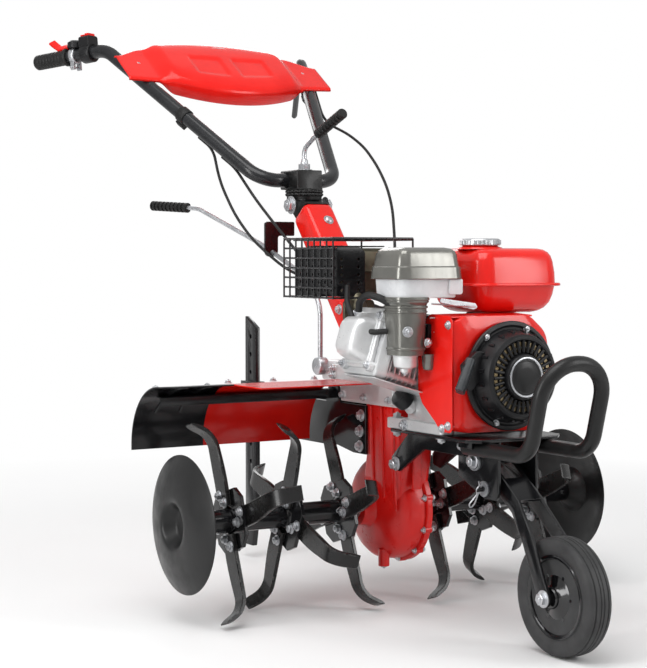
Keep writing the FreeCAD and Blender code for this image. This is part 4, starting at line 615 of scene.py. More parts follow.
layered("muffler_can", (-213, -160), (-84, -26),
        [(611, 8), (613, 3), (618, 0), (650, -1), (651, -3), (653, -3), (654, -1), (688, 0),
         (692, 3), (694, 8), (694.4, 30)], 26, SMOKED, "muffler", 28)
plate("muffler_shield", [(-219, 606, 3), (-158, 606, 3), (-158, 688, 8), (-170, 696, 8),
                         (-219, 696, 3)],
      [(-208, 618 + 14 * n, 2.6) for n in range(5)]
      + [(-172, 618 + 14 * n, 2.6) for n in range(5)], "y", -167, -164, BLACK)
plate("muffler_side_shield", [(-166, 606, 3), (-24, 606, 3), (-24, 696, 8), (-166, 696, 8)],
      [(y, 618 + 14 * n, 3) for n in range(5) for y in (-150, -128, -106, -84, -62, -40)], "x",
      -220, -217, BLACK)
for number in range(10):
    y = -150 + 13 * number
    rod(at(-200, y, 697.5), at(-188, y + 10, 697.5), 1.6, 8)
for x in (-178, -160, -142, -124, -106):
    rod(at(x, -150, 697.5), at(x, -36, 697.5), 1.2, 8)
build("muffler_louvres", BLACK, smooth=50)
rod(at(-172, -171, 580), at(-172, -150, 612), 15, 32)
slab([(-205, 560, 8), (-140, 560, 8), (-140, 600, 8), (-205, 600, 8)], "y", -171, -164)
build("exhaust_flange", SMOKED, edge=1)
slab([(-233, -132, 3), (-62, -132, 3), (-62, -107, 3), (-233, -107, 3)], "z", 606, 610)
build("guard_strap", BLACK, edge=0.6)

right, left, ahead, behind, floor, roof = -235, -62, -180, -4, 604, 712
for step in range(7):
    z = floor + (roof - floor) * step / 6
    rod(at(right, ahead, z), at(right, behind, z), 1.9, 10)
    if step in (0, 3, 6):
        rod(at(right, behind, z), at(left, behind, z), 1.9, 10)
for step in range(9):
    y = ahead + (behind - ahead) * step / 8
    path = [at(right, y, floor - 2), at(right, y, roof), at(left, y, roof)]
    sweep(turned_route(path, [5]), 1.7, 10)
for step in range(19):
    y = ahead + (behind - ahead) * step / 18
    rod(at(right + 2, y, roof), at(left, y, roof), 1.2, 8)
for step in range(1, 9):
    x = right + (left - right) * step / 8
    rod(at(x, ahead, roof - 2.6), at(x, behind, roof - 2.6), 1.7, 10)
for y in (ahead, behind):
    rod(at(left, y, floor), at(left, y, roof), 1.9, 10)
    rod(at(right, y, floor), at(left, y, floor), 1.9, 10)
    rod(at(right, y, roof), at(left, y, roof), 2.2, 10)
rod(at(left, ahead, floor), at(left, behind, floor), 1.9, 10)
build("guard_wires", BLACK, "muffler_guard", smooth=60)


# ---- chain case ---------------------------------------------------------------------------

lathe([(-72, 26), (-71, 31), (-52, 33), (-46, 36), (-43, 50), (-38, 72), (-30, 88), (-20, 97),
       (-8, 101), (12, 102), (20, 102.5), (21, 101), (23, 101), (24, 107), (25, 108),
       (35, 108), (36, 107), (36, 98), (42, 80), (44, 60), (47, 38), (69, 33), (71, 31),
       (72, 26)], "x", (0, REEL), 72)
build("chain_case_body", RED_CAST, "gearcase", smooth=35)


def neck_ring(z, half, front, rear, corner):
    return [at(p.x, p.y, z) for p in oblong(-half, front, half, rear, corner, 4)]


stack(neck_ring, ((205, 38, -84, 40, 16), (240, 40, -92, 30, 14), (290, 42, -100, 16, 12),
                  (372, 43, -102, 11, 10), (380, 44, -103, 11, 8), (392, 44, -103, 11, 8)))
build("chain_case_neck", RED_CAST, smooth=40)
for y in (-88, -50, -14):
    loft([[at(x, y + dy, z) for x, z in ((-50, 390), (-42, 214), (-36, 190), (-36, 390))]
          for dy in (-4.5, 4.5)])
for y in (-104, 12):
    loft([[at(x, y + dy, z) for x, z in ((-10, 390), (-10, 232), (10, 232), (10, 390))]
          for dy in (-3, 3)])
build("chain_case_ribs", RED_CAST, edge=2.5, segments=3)
CASE_LUGS = [polar(angle, 103) for angle in (-60, -95, -130, -20, 20, 165, 200)]
for u, v in CASE_LUGS:
    rod(at(22, u, REEL + v), at(38, u, REEL + v), 7, 20)
rod(at(-26, -30, 76), at(-26, -30, 110), 11, 24)
build("chain_case_lugs", RED_CAST, edge=1.5)
for u, v in CASE_LUGS:
    hexagon(at(22, u, REEL + v), -X, 9, 4, 1)
    hexagon(at(38, u, REEL + v), X, 9, 5, 1)
hexagon(at(-26, -30, 81), -Z, 12, 6, 1.2)
hexagon(at(-30, -94, 392), Z, 13, 6, 1.6)
build("chain_case_bolts", ZINC)


# ---- front wheel --------------------------------------------------------------------------

AXLE = (-545, 102.5)
lathe(mirrored([(-17, 70), (-19.5, 72), (-22.5, 80), (-24.5, 90), (-23.5, 96), (-21, 99.4),
                (-18, 101), (-15, 101.3), (-14, 99.8), (-12.5, 99.8), (-11.5, 102),
                (-5, 102.5), (-4, 101), (-2.5, 101), (-1.5, 102.5)]), "x", AXLE, 96)
build("tyre", TYRE, "wheel_tyre", "wheel", smooth=38)
lathe(mirrored([(-31, 9), (-31, 17), (-29, 18.5), (-25, 19), (-22, 23), (-19, 34), (-13, 45),
                (-6, 53), (-5, 58), (-9, 61), (-17, 63.5), (-20.5, 66), (-21.5, 70),
                (-20, 72), (-16.6, 69)]), "x", AXLE, 72)
build("rim", RIM_BLACK, "wheel_rim", "wheel", smooth=40)
for angle in range(0, 360, 60):
    u, v = polar(angle, 40)
    place = at(-17.5, AXLE[0] + u, AXLE[1] + v)
    rod(place, place + X * 0.003, 3.6, 16)
build("rim_rivets", RIM_BLACK, body="wheel", edge=0.6)


# ---- side discs ---------------------------------------------------------------------------

def dish(reach):
    """Points down a bowed face of a disc, whose outer edge is so far from the middle."""
    line = []
    for step in range(13):
        share = step / 12
        sag = 4.7 * (1 - (2 * share - 1) ** 2)
        line.append((reach + 22 * share + sag * 0.965, 128 - 81 * share + sag * 0.262))
    return line


for sign, name in SIDES:
    profile = ([(443.4, 0), (443.4, 22), (445, 25), (459.6, 38.5), (463.6, 42), (466.8, 47)]
               + dish(445.5)[::-1] + [(446, 128.6), (447.6, 128.6)] + dish(448)
               + [(469, 44), (466, 41), (462, 38), (450, 28.5), (447.5, 26), (446, 22),
                  (446, 0)])
    lathe([(sign * x, r) for x, r in profile], "x", (0, REEL), 96)
    build(f"guard_disc_{name}", BLACK_SATIN, f"disc_{name}", "rotor", smooth=50)
    lathe([(sign * 400, 21), (sign * 405, 22), (sign * 443.6, 22)], "x", (0, REEL), 32)
    rod(at(sign * 424, -30, REEL), at(sign * 424, 30, REEL), 4, 16)
    build(f"disc_stub_{name}", BLACK, body="rotor", smooth=50)


# ---- bumper -------------------------------------------------------------------------------

HOOP = 13.5      # the hoop tube's radius; it hangs under the bed at 356
under = 356 - HOOP
tube([(-66, -355, under), (-66, -535, under), (-66, -577, 500), (66, -577, 500),
      (66, -535, under), (66, -355, under)], [45, 63, 63, 45], HOOP, 32)
build("bumper_hoop", BLACK_SATIN, "bumper", smooth=60)


# ---- handlebar, its panel and controls ----------------------------------------------------

BAR = "handlebar_body"
SLOPE = math.radians(35.8)      # the arms' rise from the clamp to the knees
KNEE = 839 + math.tan(SLOPE) * (766 - 344)
FOOT = (92, 344, 839)
half = [(344, 946, 1126), (253, 766, KNEE), FOOT]
bar_route = [at(-x, y, z) for x, y, z in half] + [at(*point) for point in half[::-1]]
sweep(turned_route(bar_route, [70, 58, 58, 70]), 15, 32)
build("bar", TUBE, "handlebar", BAR, smooth=60)


def grip_frame(side, distance):
    """A place on the handlebar's end part, the way outwards, and the sideways direction."""
    end, knee = bar_route[:2] if side < 0 else bar_route[:-3:-1]
    way = (end - knee).normalized()
    return end - way * distance / 1000, way, way.cross(Z).normalized()


for side, name in SIDES:
    end, way, _ = grip_frame(side, 0)
    profile = [(-3, 0), (-3, 11), (-2, 15), (1, 17.2), (8, 17.5)]
    for low in range(12, 84, 9):
        profile += [(low, 17.5), (low + 1, 16.9), (low + 3, 16.9), (low + 4, 17.5)]
    profile += [(84, 17.5), (86, 20.5), (91, 21), (94, 19.5), (95, 15.2)]
    turn(profile, end, -way, 48)
    build(f"rubber_{name}", RUBBER, f"grip_{name}", BAR, smooth=40)


def on_panel(u, v, height):
    """A point across the arms, up their slope and off their plane, in millimetres."""
    return at(u, 344 + v * math.cos(SLOPE) - height * math.sin(SLOPE),
              839 + v * math.sin(SLOPE) + height * math.cos(SLOPE))


def ease(value, start, end):
    """0 before start, 1 after end, and a smooth step between them."""
    share = min(max((value - start) / (end - start), 0), 1)
    return share * share * (3 - 2 * share)


WING = 172      # where the panel's wings begin, to either side


def panel_edges(u):
    """The panel's front and rear edge up the slope: bowed in the middle, then its wings."""
    reach = abs(u)
    if reach <= WING:
        return 318 + 44 * (reach / WING) ** 2, 524 - 25 * (reach / WING) ** 2
    past = reach - WING
    return 362 + past * 0.06, 499 - 36 * ease(past, 8, 88)


def panel_height(u, share):
    """The panel's height: a crowned body, two shallow trays in it, and flat wings."""
    body = 1 - ease(abs(u), 146, 186)
    crown = 1 - (2 * share - 1) ** 4
    height = 18 + body * (13 + 9 * crown) * (0.75 + 0.25 * crown)
    for low, high in ((-92, -14), (16, 98)):
        inside = ease(u, low - 4, low + 4) * (1 - ease(u, high - 4, high + 4))
        height -= 4 * inside * ease(share, 0.2, 0.27) * (1 - ease(share, 0.56, 0.62))
    return height


columns, rows = 132, 40
grid = []
for i in range(columns + 1):
    u = -258 + 516 * i / columns
    low, high = panel_edges(u)
    lip = -6 + 21 * ease(abs(u), 146, 190)
    line = [on_panel(u, low + 1, lip), on_panel(u, low - 0.5, lip + 1)]
    line.append(on_panel(u, low - 0.5, panel_height(u, 0) - 5))
    for j in range(rows + 1):
        share = j / rows
        drop = 4 * (1 - ease(share, 0, 0.045)) + 4 * ease(share, 0.955, 1)
        line.append(on_panel(u, low + (high - low) * share, panel_height(u, share) - drop))
    line.append(on_panel(u, high + 0.5, panel_height(u, 1) - 6))
    line += [on_panel(u, high + 0.5, lip + 1), on_panel(u, high - 1, lip)]
    grid.append([bench.verts.new(point) for point in line])
for a, b in zip(grid, grid[1:]):
    for j in range(len(a) - 1):
        bench.faces.new((a[j], b[j], b[j + 1], a[j + 1]))
panel = build("bar_panel", RED_PLASTIC, "handlebar_panel", BAR, smooth=70)
shell = panel.modifiers.new("shell", "SOLIDIFY")
shell.thickness = 0.0024
shell.offset = 1 if panel.data.polygons[len(panel.data.polygons) // 2].normal.z < 0 else -1
up = Vector((0, -math.sin(SLOPE), math.cos(SLOPE)))
for u in (-212, 212):
    turn([(0, 9), (0.8, 9), (1.6, 8), (2.2, 5.5), (2.4, 0)], on_panel(u, 433, 17.6), up, 32)
    for angle in (45, 135):
        cross = Matrix.Rotation(math.radians(angle), 3, up) @ X * 0.0045
        centre = on_panel(u, 433, 20.2)
        rod(centre - cross, centre + cross, 0.8, 6)
build("panel_screws", ZINC, body=BAR)
oval = [(31 * math.cos(2 * math.pi * s / 48), 17 * math.sin(2 * math.pi * s / 48))
        for s in range(48)]
loft([[on_panel(8 + u * k, 478 + v * k, panel_height(8 + u * k, 0.8) + lift) for u, v in oval]
      for k, lift in ((1, -0.3), (1, 0.8), (0.96, 1.3))])
build("panel_badge", ALUMINIUM, body=BAR, slot="steel", smooth=50)

foot, knee = at(*FOOT), at(253, 766, KNEE)
for side, share in ((-1, 0.475), (1, 0.74)):
    start = foot.lerp(knee, share)
    way = (knee - foot).normalized()
    start.x, way.x = side * start.x, side * way.x
    turn([(-11, 15), (-11, 17), (-10, 17.6), (10, 17.6), (11, 17), (11, 15)], start, way)
    under = start - up * 0.020
    sweep([under - way * 0.011, under + way * 0.011], 1, 4,
          shape=oblong(-0.007, -0.008, 0.007, 0.008, 0.002, 3))
build("cable_clips", RUBBER, body=BAR, smooth=50)


def grip_block(place, way, across, low, high, corner=3):
    """A rounded block by (along, across, up) millimetres from a place on the bar."""
    rise = across.cross(way) if across.cross(way).z > 0 else way.cross(across)
    section = oblong(low[1], low[2], high[1], high[2], corner, 4)
    loft([[place + way * s / 1000 + across * p.x / 1000 + rise * p.y / 1000 for p in section]
          for s in (low[0], high[0])])


place, way, across = grip_frame(-1, 112)
turn([(-7, 15), (-7, 18), (-6, 19), (6, 19), (7, 18), (7, 15)], place, way)
grip_block(place, way, across, (-5, -14, -33), (5, -8, -14), 2)
grip_block(place, way, across, (-5, 8, -33), (5, 14, -14), 2)
rod(place + across * 0.017 - Z * 0.027, place - across * 0.017 - Z * 0.027, 3, 12)
build("throttle_clamp", ZINC, "throttle", BAR, smooth=50)
turn([(16, 8), (16, 17), (18, 19), (30, 18), (34, 13), (34, 0)], place, Z, 32)
grip_block(place, way, across, (-34, -9, 17), (6, 9, 31), 4)
build("throttle_pod", BLACK_PLASTIC, body=BAR, slot="black_plastic", smooth=40, edge=0.8)
finger = [place + way * out + Z * rise for out, rise in
          ((0, 0.026), (0.022, 0.024), (0.045, 0.022), (0.062, 0.034), (0.07, 0.041))]
sweep(finger, 1, 4, shape=oblong(-0.009, -0.0035, 0.009, 0.0035, 0.003, 4))
build("throttle_finger", RED_PLASTIC, body=BAR, edge=1.2, smooth=50)

place, way, across = grip_frame(-1, 152)
turn([(-14, 15), (-14, 21), (-12, 22), (12, 22), (14, 21), (14, 15)], place, way, 40)
grip_block(place, way, across, (-14, -18, 12), (14, 18, 38), 6)
grip_block(place, way, across, (-12, -20, -16), (12, 20, 16), 8)
build("switch_body", BLACK_PLASTIC, "switch_box", BAR, slot="black_plastic", edge=1.2, smooth=50)
grip_block(place, way, across, (-10, -13, 37), (-1, 13, 44), 2.5)
grip_block(place, way, across, (3, -13, 37), (11, 13, 42), 2.5)
build("switch_rockers", RED_PLASTIC, body=BAR, edge=1, smooth=50)

place, way, across = grip_frame(1, 135)
turn([(-10, 15), (-10, 19), (-9, 20), (9, 20), (10, 19), (10, 15)], place, way)
grip_block(place, way, across, (-15, -6, -24), (15, 6, -14), 2)
build("clutch_clamp", ZINC, body=BAR, smooth=50)
pivot = place - Z * 0.029
lever = turned_route([pivot, pivot + way * 0.020 - Z * 0.010, pivot + way * 0.150 - Z * 0.062],
                     [30])
sweep(lever, 1, 4, shape=oblong(-0.0075, -0.006, 0.0075, 0.006, 0.005, 4))
build("clutch_handle", BLACK, "clutch_lever", BAR, edge=1.5, smooth=50)

# clamp lever and its ribbed grip
base = at(0, 318, 860)
points = [base, base + Z * 0.046, base + Vector((0, -0.042, 0.068)),
          base + Vector((0, -0.150, 0.108))]
sweep(turned_route(points, [22, 60]), 5, 24)
turn([(14, 8), (22, 7.5), (24, 5.2)], base, Z, 24)
hexagon(base, Z, 22, 12, 2)
build("clamp_rod", ZINC, "clamp_lever", BAR, smooth=50)


def ribbed(name, start, way, length, stands_for, body):
    """A ribbed sleeve of rubber on a lever's end."""
    profile = [(0, 5.2), (0, 9), (2, 11)]
    for low in range(4, length - 8, 12):
        profile += [(low, 11), (low + 5, 11), (low + 6, 8.4), (low + 10, 8.4), (low + 11, 11)]
    profile += [(length - 3, 11), (length, 9), (length, 0)]
    turn(profile, start, way, 32)
    build(name, RUBBER, stands_for, body, smooth=35)


ahead = (points[3] - points[2]).normalized()
ribbed("clamp_sleeve", points[3] - ahead * 0.100, ahead, 106, "clamp_grip", BAR)

BOX_TOP = 470      # the gearbox's roof
points = tube([(-62, 150, BOX_TOP - 12), (-62, 150, 585), (-62, 215, 640), (-66, 380, 703),
               (-125, 565, 784), (-168, 692, 792)], [60, 60, 120, 80], 5, 24)
turn([(0, 18), (18, 18), (20, 16), (20, 0)], at(-52, 150, BOX_TOP - 12), -X, 32)
build("shift_rod", ZINC, "shift_lever", smooth=50)
ahead = (points[-1] - points[-2]).normalized()
ribbed("shift_sleeve", points[-1] - ahead * 0.104, ahead, 110, "shift_grip", "chassis")


# ---- tine reels ---------------------------------------------------------------------------

FLANGES = ((110, -17.5, False), (229, 24.5, True), (348, -17.5, True))


def around(x, angle, side, radius):
    """A point on a reel by plane, angle from upright, place along the circle and radius."""
    turned = math.radians(angle)
    return at(x, side * math.cos(turned) - radius * math.sin(turned),
              REEL + side * math.sin(turned) + radius * math.cos(turned))


def tine_stations():
    """The tine's middle line: distance from the flange, radius, lean and thickness."""
    start, bend, turned = 141, 42, 62
    line = [(8, radius, 0, 8) for radius in (27, 50, 70, 90, 110, 126, start)]
    for step in range(1, 11):
        lean = math.radians(turned * step / 10)
        line.append((8 + bend * (1 - math.cos(lean)), start + bend * math.sin(lean), lean, 8))
    x, radius, lean, _ = line[-1]
    for distance, thick in ((12, 7.6), (18, 6), (24, 2.4)):
        line.append((x + distance * math.sin(lean), radius + distance * math.cos(lean), lean,
                     thick))
    return line


def tine(sign, plane, facing, angle):
    """One sabre tine bolted on a flange's face, bent sideways and swept back to its tip."""
    rings = []
    for x, radius, lean, thick in tine_stations():
        swept = ease(radius, 50, 205) * 14
        half, cut = 20 - 6 * ease(radius, 80, 195), 1.2
        flat = thick / 2
        outline = [(half, flat - cut), (half - cut, flat), (cut - half, flat),
                   (-half, flat - cut), (-half, cut - flat), (cut - half, -flat),
                   (half - cut, -flat), (half, cut - flat)]
        rings.append([around(sign * (plane + facing * (x + v * math.cos(lean))), angle,
                             swept + u, radius - v * math.sin(lean)) for u, v in outline])
    loft(rings)


def r_clip(place, ahead, up):
    """A spring clip: a straight leg through the pin and a waved one over it."""
    shape = [(-14, 0), (32, 0), (42, 5), (32, 12), (20, 6), (10, 2), (0, 8), (-8, 4), (-18, 9)]
    points = [place + (ahead * along + up * rise) / 1000 for along, rise in shape]
    sweep(turned_route(points, [5, 6, 6, 9, 7, 6, 5]), 1.3, 8)


for sign, side in SIDES:
    out = X * sign
    spots = [(plane, phase + 90 * quarter, 1 if (quarter % 2 == 0) == outer else -1)
             for plane, phase, outer in FLANGES for quarter in range(4)]
    for plane, angle, facing in spots:
        tine(sign, plane, facing, angle)
    build(f"tine_set_{side}", BLACK_WORN, f"tines_{side}", "rotor", smooth=35)
    lathe([(sign * x, r)
           for x, r in ((80, 14.5), (80, 21), (81, 22), (404, 22), (405, 21), (405, 14.5))], "x",
          (0, REEL), 48)
    for plane, phase, _ in FLANGES:
        corners = [(56, 36), (36, 56), (-36, 56), (-56, 36), (-56, -36), (-36, -56), (36, -56),
                   (56, -36)]
        loft([[around(sign * (plane + x), phase, u * k, v * k) for u, v in corners]
              for x, k in ((-4, 0.985), (-3.2, 1), (3.2, 1), (4, 0.985))])
        for face in (-1, 1):
            lathe([(sign * (plane + face * x), r)
                   for x, r in ((3.5, 22), (3.8, 27), (5, 26.4), (7.5, 23.6), (8.5, 22))], "x",
                  (0, REEL), 32)
    build(f"tine_hub_{side}", BLACK, body="rotor", smooth=35)
    for plane, angle, facing in spots:
        for shift, radius in ((-8, 33), (8, 49)):
            hexagon(around(sign * (plane + facing * 12), angle, shift, radius), out * facing, 13,
                    6)
            hexagon(around(sign * (plane - facing * 4), angle, shift, radius), -out * facing, 13,
                    7, 1.2)
    for x in (94, 424):
        rod(at(sign * x, -29, REEL), at(sign * x, 29, REEL), 4, 16)
        rod(at(sign * x, 26, REEL), at(sign * x, 29.5, REEL), 7, 20)
    r_clip(at(sign * 94, -26, REEL), out, Vector((0, -0.3, 1)))
    build(f"tine_bolts_{side}", ZINC, body="rotor", smooth=40)


# ---- engine block and gearbox -------------------------------------------------------------

layered("crankcase", (-85, -345), (85, -181),
        [(378, 0), (384, 3), (440, 3), (444, 0), (450, 0), (454, 3), (478, 4), (486, 9),
         (489, 16)], 18, ALUMINIUM, "engine_block", 32)
for x, outer in ((-74, -102), (74, 102)):
    low, high = min(x, outer), max(x, outer)
    slab([(low, -331, 8), (high, -331, 8), (high, -151, 8), (low, -151, 8)], "z", 362, 381)
slab([(-74, -331, 2), (74, -331, 2), (74, -151, 2), (-74, -151, 2)], "z", 362, 378)
build("engine_feet", ALUMINIUM, edge=2, segments=3)
for y in (-174, -316):
    for x in (-92, 92):
        hexagon(at(x, y, 381), Z, 13, 7)
        hexagon(at(x, y, 356), -Z, 13, 6)
hexagon(at(-102, -212, 371), -X, 14, 6, 2)
build("engine_bolts", ZINC)
for number in range(7):
    u = 174 - 11 * number
    stack(cylinder_ring, ((u + 0.4, 51.5, 60.5, 9), (u, 52.5, 61.5, 10), (u - 3, 52.5, 61.5, 10),
                          (u - 3.4, 51.5, 60.5, 9)))
stack(cylinder_ring, ((62, 38, 38, 30), (176, 38, 38, 30)))
stack(cylinder_ring, ((178, 55, 60, 12), (180, 57, 62, 12), (201, 57, 62, 12),
                      (203.5, 55, 60, 12)))
for y, w in CORNERS:
    rod(up_cylinder(100, BORE + 46 * y, 50 * w), up_cylinder(203, BORE + 46 * y, 50 * w), 7, 16)
build("cylinder_fins", ALUMINIUM, smooth=40)
loft([[up_cylinder(u, y, w) for u, y in ((52, -300), (206, -286), (206, -188), (52, -176))]
      for w in (-66, -64)])
build("cylinder_baffle", ALUMINIUM, edge=0.6)
way = Vector((-0.8, 0, 0.6))
turn([(0, 15), (8, 13), (20, 12)], at(-80, -207, 402), way, 40)
build("filler_neck", ALUMINIUM)
turn([(16, 11), (16, 17), (18, 18.5), (36, 18.5), (40, 16), (41, 8), (41, 0)],
     at(-80, -207, 402), way, 48)
build("filler_cap", BLACK_PLASTIC, smooth=35)
for low, high in ((-308, -304), (-232, -228)):
    slab([(24, 487, 1), (82, 487, 1), (82, 576, 4), (24, 576, 4)], "y", low, high)
build("tank_brackets", BLACK, edge=0.6)

INPUT = 467      # the height of the gearbox's input shaft
GEARBOX_BOLTS = ((-96, 406), (-72, 454), (18, 456), (106, 456), (106, 442), (68, 406),
                 (-10, 406))
box_side = [(-112, 392, 3), (-112, 444, 12), (-82, 470, 14), (160, 470, 6), (160, 430, 6),
            (88, 430, 8), (88, 392, 3)]
slab(box_side, "x", -52, 52)
cover = [(-106, 396, 6), (-106, 438, 14), (-78, 464, 10), (118, 464, 8), (118, 435, 8),
         (84, 434, 10), (80, 396, 6)]
for face in (-1, 1):
    slab(cover, "x", min(face * 51, face * 57), max(face * 51, face * 57))
    for y, z in GEARBOX_BOLTS:
        rod(at(face * 52, y, z), at(face * 61, y, z), 7.5, 24)
build("gearbox_case", ALUMINIUM, "upper_gearbox", edge=2, segments=3)
lathe([(-181, 68), (-176, 70), (-124, 66), (-122, 74), (-121, 76), (-113, 76), (-112, 74),
       (-112, 40)], "y", (0, INPUT), 72)
build("bell_housing", ALUMINIUM, smooth=35)
for face in (-1, 1):
    for y, z in GEARBOX_BOLTS:
        hexagon(at(face * 61, y, z), X * face, 10, 5, 1.2)
for angle in range(20, 380, 45):
    u, v = polar(angle, 70)
    hexagon(at(u, -112, INPUT + v), Y, 9, 4, 1)
build("gearbox_bolts", ZINC)


# ---- column and its head ------------------------------------------------------------------

LEAN = math.radians(39)


def on_column(x, depth, along):
    """A point on the leaning column: across, forward of its rear face, and up its length."""
    return at(x, 72 - depth * math.cos(LEAN) + along * math.sin(LEAN),
              470 + depth * math.sin(LEAN) + along * math.cos(LEAN))


section = rounded([(-35, 0, 4), (35, 0, 4), (35, 54, 12), (-35, 54, 12)], 6)
foot = [on_column(p.x, p.y, -p.y * math.tan(LEAN)) for p in section]
loft([foot] + [[on_column(p.x * k, 27 + (p.y - 27) * k, along) for p in section]
               for along, k in ((200, 1), (352, 1), (360, 0.985), (365, 0.94), (368, 0.84))])
build("column_channel", RED, "column", smooth=40)
forward = on_column(0, 1, 0) - on_column(0, 0, 0)
turn([(0, 11), (1.2, 11), (1.4, 8.5), (4, 8), (5.5, 6), (6, 0)], on_column(8, 54, 322), forward,
     32)
for along in (60, 110):
    hexagon(on_column(-35, 27, along), -X, 13, 6)
build("column_bolts", ZINC, smooth=40)
hexagon(at(-41, 302, 786), -X, 24, 11, 1)
hexagon(at(41, 302, 786), X, 24, 11, 1)
build("head_bolt", ZINC)
slab([(-84, 752, 6), (-12, 752, 3), (-12, 722, 3), (-52, 722, 5), (-52, 678, 12),
      (-84, 678, 12)], "y", 338, 343)
build("lever_guide", BLACK, edge=1)


# ---- small fastenings ---------------------------------------------------------------------

LOCK_PIN = (-379.5, 269.6)
for face in (-1, 1):
    out = X * face
    rod(at(face * 44, -352, 316), at(face * 48, -352, 316), 17, 32)
    for x, y, z, size in ((48, -352, 316, (17, 9)), (50, -386, 345, (11, 5)),
                          (50, -108, 286, (17, 10, 2)), (50, -318, 340, (11, 5))):
        hexagon(at(face * x, y, z), out, *size)
    for y, z in ((14, 368), (18, 337), (19, 307)):
        hexagon(at(face * 50, y, z), out, 15, 7, 2)
    rod(at(face * 44, *LOCK_PIN), at(face * 47, *LOCK_PIN), 14, 28)
r_clip(at(-54, *LOCK_PIN), Vector((0, 0.5, -0.87)), -X)
build("bed_fasteners", ZINC, smooth=40)
for face in (-1, 1):
    hexagon(at(face * 43, *AXLE), X * face, 19, 8, 2.5)
build("axle_nuts", ZINC, body="wheel_arm")
for face in (-1, 1):
    for x in (96, 190, 290):
        hexagon(at(face * x, 118, 434), Z, 10, 4, 1.4)
    for x in (330, 440):
        hexagon(at(face * x, 128, 428), Vector((0, 0.35, 0.94)), 10, 4, 1.4)
build("fender_bolts", ZINC)
for face in (-1, 1):
    for x in (352, 404):
        line = []
        for step in range(15):
            u, v = polar(88 - 4 * step, 115)
            line.append(at(face * (x + 22 * step / 14), 60 + u, 319 + v))
        sweep(line, 3, 12)
build("fender_ribs", BLACK, smooth=60)

angle_bar = rounded([(-10, 9, 1), (-10, 6.5, 1), (6.5, 6.5, 4), (6.5, -10, 1), (9, -10, 1),
                     (9, 9, 4)], 4)
loft([[at(x, 120.5 - p.x, 405.4 + p.y) for p in angle_bar] for x in (-438, 438)])
build("stay_angle", BLACK, "fender_stay", smooth=40)

# the cables: rubber copies of their parts, fixed where they stand
for name, low, high in (("throttle", (-92, 308, 682), (-136, 446, 838)),
                        ("stop", (-88, 300, 752), (-118, 400, 845)),
                        ("clutch", (146, 222, 826), (189, 546, 985))):
    mesh = nodes[f"cable_{name}"].data.copy()
    dress(mesh, RUBBER)
    mesh.shade_smooth()
    sleeve = bpy.data.objects.new(f"sleeve_{name}", mesh)
    bpy.context.scene.collection.objects.link(sleeve)
    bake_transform(sleeve)
    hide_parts(f"cable_{name}")

# behind the engine the cables run on: two to the shroud, the clutch's to the gearbox
CABLE_TAILS = (
    [(-70, 205, 636), (-62, 158, 621), (-54, 100, 604), (-50, 20, 588), (-48, -60, 574),
     (-48, -170, 566), (-48, -262, 562), (-48, -292, 546)],
    [(-78, 244, 706), (-70, 200, 670), (-64, 150, 636), (-60, 95, 616), (-60, 20, 597),
     (-58, -60, 582), (-58, -170, 574), (-58, -262, 568), (-58, -292, 550)],
    [(92, 112, 716), (74, 82, 672), (60, 62, 610), (51, 50, 540), (46, 46, 472)])
for tail in CABLE_TAILS:
    tube(tail, [30] * (len(tail) - 2), 3, 12)
build("cable_tails", RUBBER, smooth=60)
lathe([(469, 9), (474, 9), (475, 6), (500, 6), (502, 4.5), (502, 2.5)], "z", (46, 46), 24)
build("cable_adjuster", ZINC)

for material, width, names in ((BLACK, 1.2, "wheel_fork wheel_bracket engine_bed"
                                            " hitch_bracket depth_stake"),
                               (BLACK_CAST, 2.2, "column_head swivel_clamp")):
    for name in names.split():
        bench.from_mesh(nodes[name].data)
        bmesh.ops.remove_doubles(bench, verts=bench.verts, dist=0.00002)
        bmesh.ops.dissolve_limit(bench, angle_limit=math.radians(1), verts=bench.verts,
                                 edges=bench.edges)
        piece = build(f"{name}_dressed", material, name, nodes[name]["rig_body"], edge=width,
                      smooth=40)
        piece.modifiers["edges"].use_clamp_overlap = False


# ---- camera, light ------------------------------------------------------------------------

scene = bpy.context.scene
lens = bpy.data.cameras.new("camera")
lens.lens = 91.27
lens.sensor_fit = "VERTICAL"
lens.sensor_height = 36
lens.clip_end = 50
camera = bpy.data.objects.new("camera", lens)
scene.collection.objects.link(camera)
camera.location = (-1.8297, -2.7717 + BACK, 0.6817)
camera.rotation_euler = Vector((0.5187, 0.8537, -0.0466)).to_track_quat("-Z", "Y").to_euler()
scene.camera = camera


def area_light(name, place, target, size, power):
    data = bpy.data.lights.new(name, "AREA")
    data.shape = "RECTANGLE"
    data.size, data.size_y = size
    data.energy = power
    lamp = bpy.data.objects.new(name, data)
    scene.collection.objects.link(lamp)
    lamp.location = place
    aim = Vector(target) - Vector(place)
    lamp.rotation_euler = aim.to_track_quat("-Z", "Y").to_euler()


area_light("overhead", (-0.9, -0.9, 2.9), (0, 0, 0.4), (2.0, 2.0), 50)
area_light("front left", (1.9, -2.9, 1.7), (0, 0, 0.5), (1.0, 2.0), 40)
area_light("right side", (-3.2, -0.4, 1.3), (0, 0, 0.5), (0.9, 2.2), 44)
area_light("behind", (0.6, 2.6, 1.9), (0, 0, 0.6), (2.0, 1.0), 24)


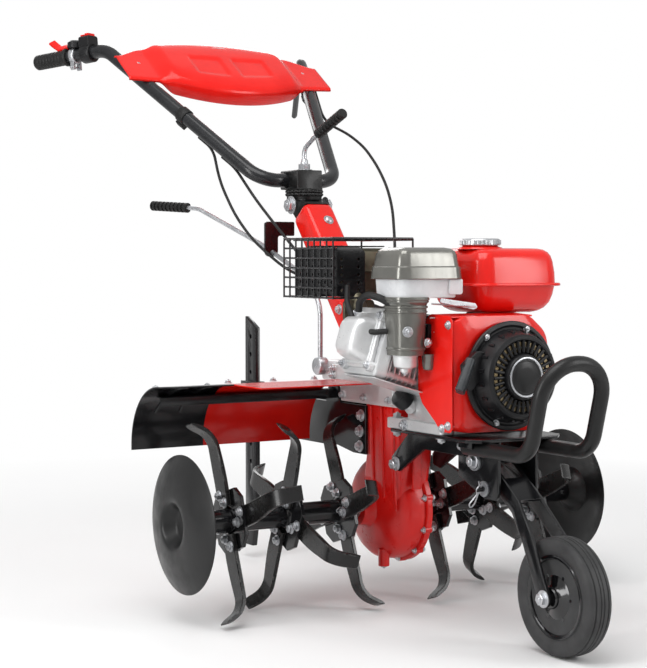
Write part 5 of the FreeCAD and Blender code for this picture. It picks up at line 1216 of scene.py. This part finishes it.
def pale_floor(reach=7, steps=96):
    """A round floor that fades into the white background away from the object."""
    mesh = bpy.data.meshes.new("floor")
    ring = [polar(360 * step / steps, reach) for step in range(steps)]
    mesh.from_pydata([(x, y, -0.0005) for x, y in ring], [], [list(range(steps))])
    floor = bpy.data.objects.new("floor", mesh)
    scene.collection.objects.link(floor)
    material, tree = new_material("pale floor")
    grey = add(tree, "BsdfPrincipled", {"Base Color": (0.86, 0.86, 0.86, 1), "Roughness": 0.9,
                                        "Specular IOR Level": 0.1})
    where = add(tree, "TexCoord").outputs["Object"]
    length = add(tree, "VectorMath", {0: where}, operation="LENGTH").outputs["Value"]
    away = spread(tree, length, 0, 1, 0.9, 2.4)
    direct = add(tree, "LightPath").outputs["Is Camera Ray"]
    seen = add(tree, "Math", {0: away, 1: direct}, operation="MULTIPLY")
    white = add(tree, "Emission")
    mix = add(tree, "MixShader", {0: seen.outputs[0], 1: grey.outputs[0], 2: white.outputs[0]})
    add(tree, "OutputMaterial", {0: mix.outputs[0]})
    mesh.materials.append(material)


def studio_world(light=0.46, in_gloss=0.35):
    """White behind the object, partly seen in gloss, over a soft grey sky that lights it."""
    world = bpy.data.worlds.new("studio")
    scene.world = world
    world.use_nodes = True
    tree = world.node_tree
    tree.nodes.clear()
    split = add(tree, "SeparateXYZ", {0: add(tree, "TexCoord").outputs["Generated"]})
    ramp = add(tree, "ValToRGB", {0: spread(tree, split.outputs["Z"], 0, 1, -1, 1)})
    for stop, position, grey in zip(ramp.color_ramp.elements, (0.4, 0.8), (0.35, 1)):
        stop.position = position
        stop.color = (grey, grey, grey, 1)
    lit = add(tree, "Background", {0: ramp.outputs[0], 1: light})
    seen = add(tree, "Background", {0: (1, 1, 1, 1)})
    path = add(tree, "LightPath")
    part = path.outputs["Is Camera Ray"]
    for ray, share in (("Is Transmission Ray", 1), ("Is Glossy Ray", in_gloss)):
        part = add(tree, "Math", {0: path.outputs[ray], 1: share, 2: part},
                   operation="MULTIPLY_ADD", use_clamp=True).outputs[0]
    mix = add(tree, "MixShader", {0: part, 1: lit.outputs[0], 2: seen.outputs[0]})
    add(tree, "OutputWorld", {0: mix.outputs[0]})


pale_floor()
studio_world()
scene.view_settings.view_transform = "Standard"
scene.view_settings.look = "None"
scene.view_settings.exposure = 0
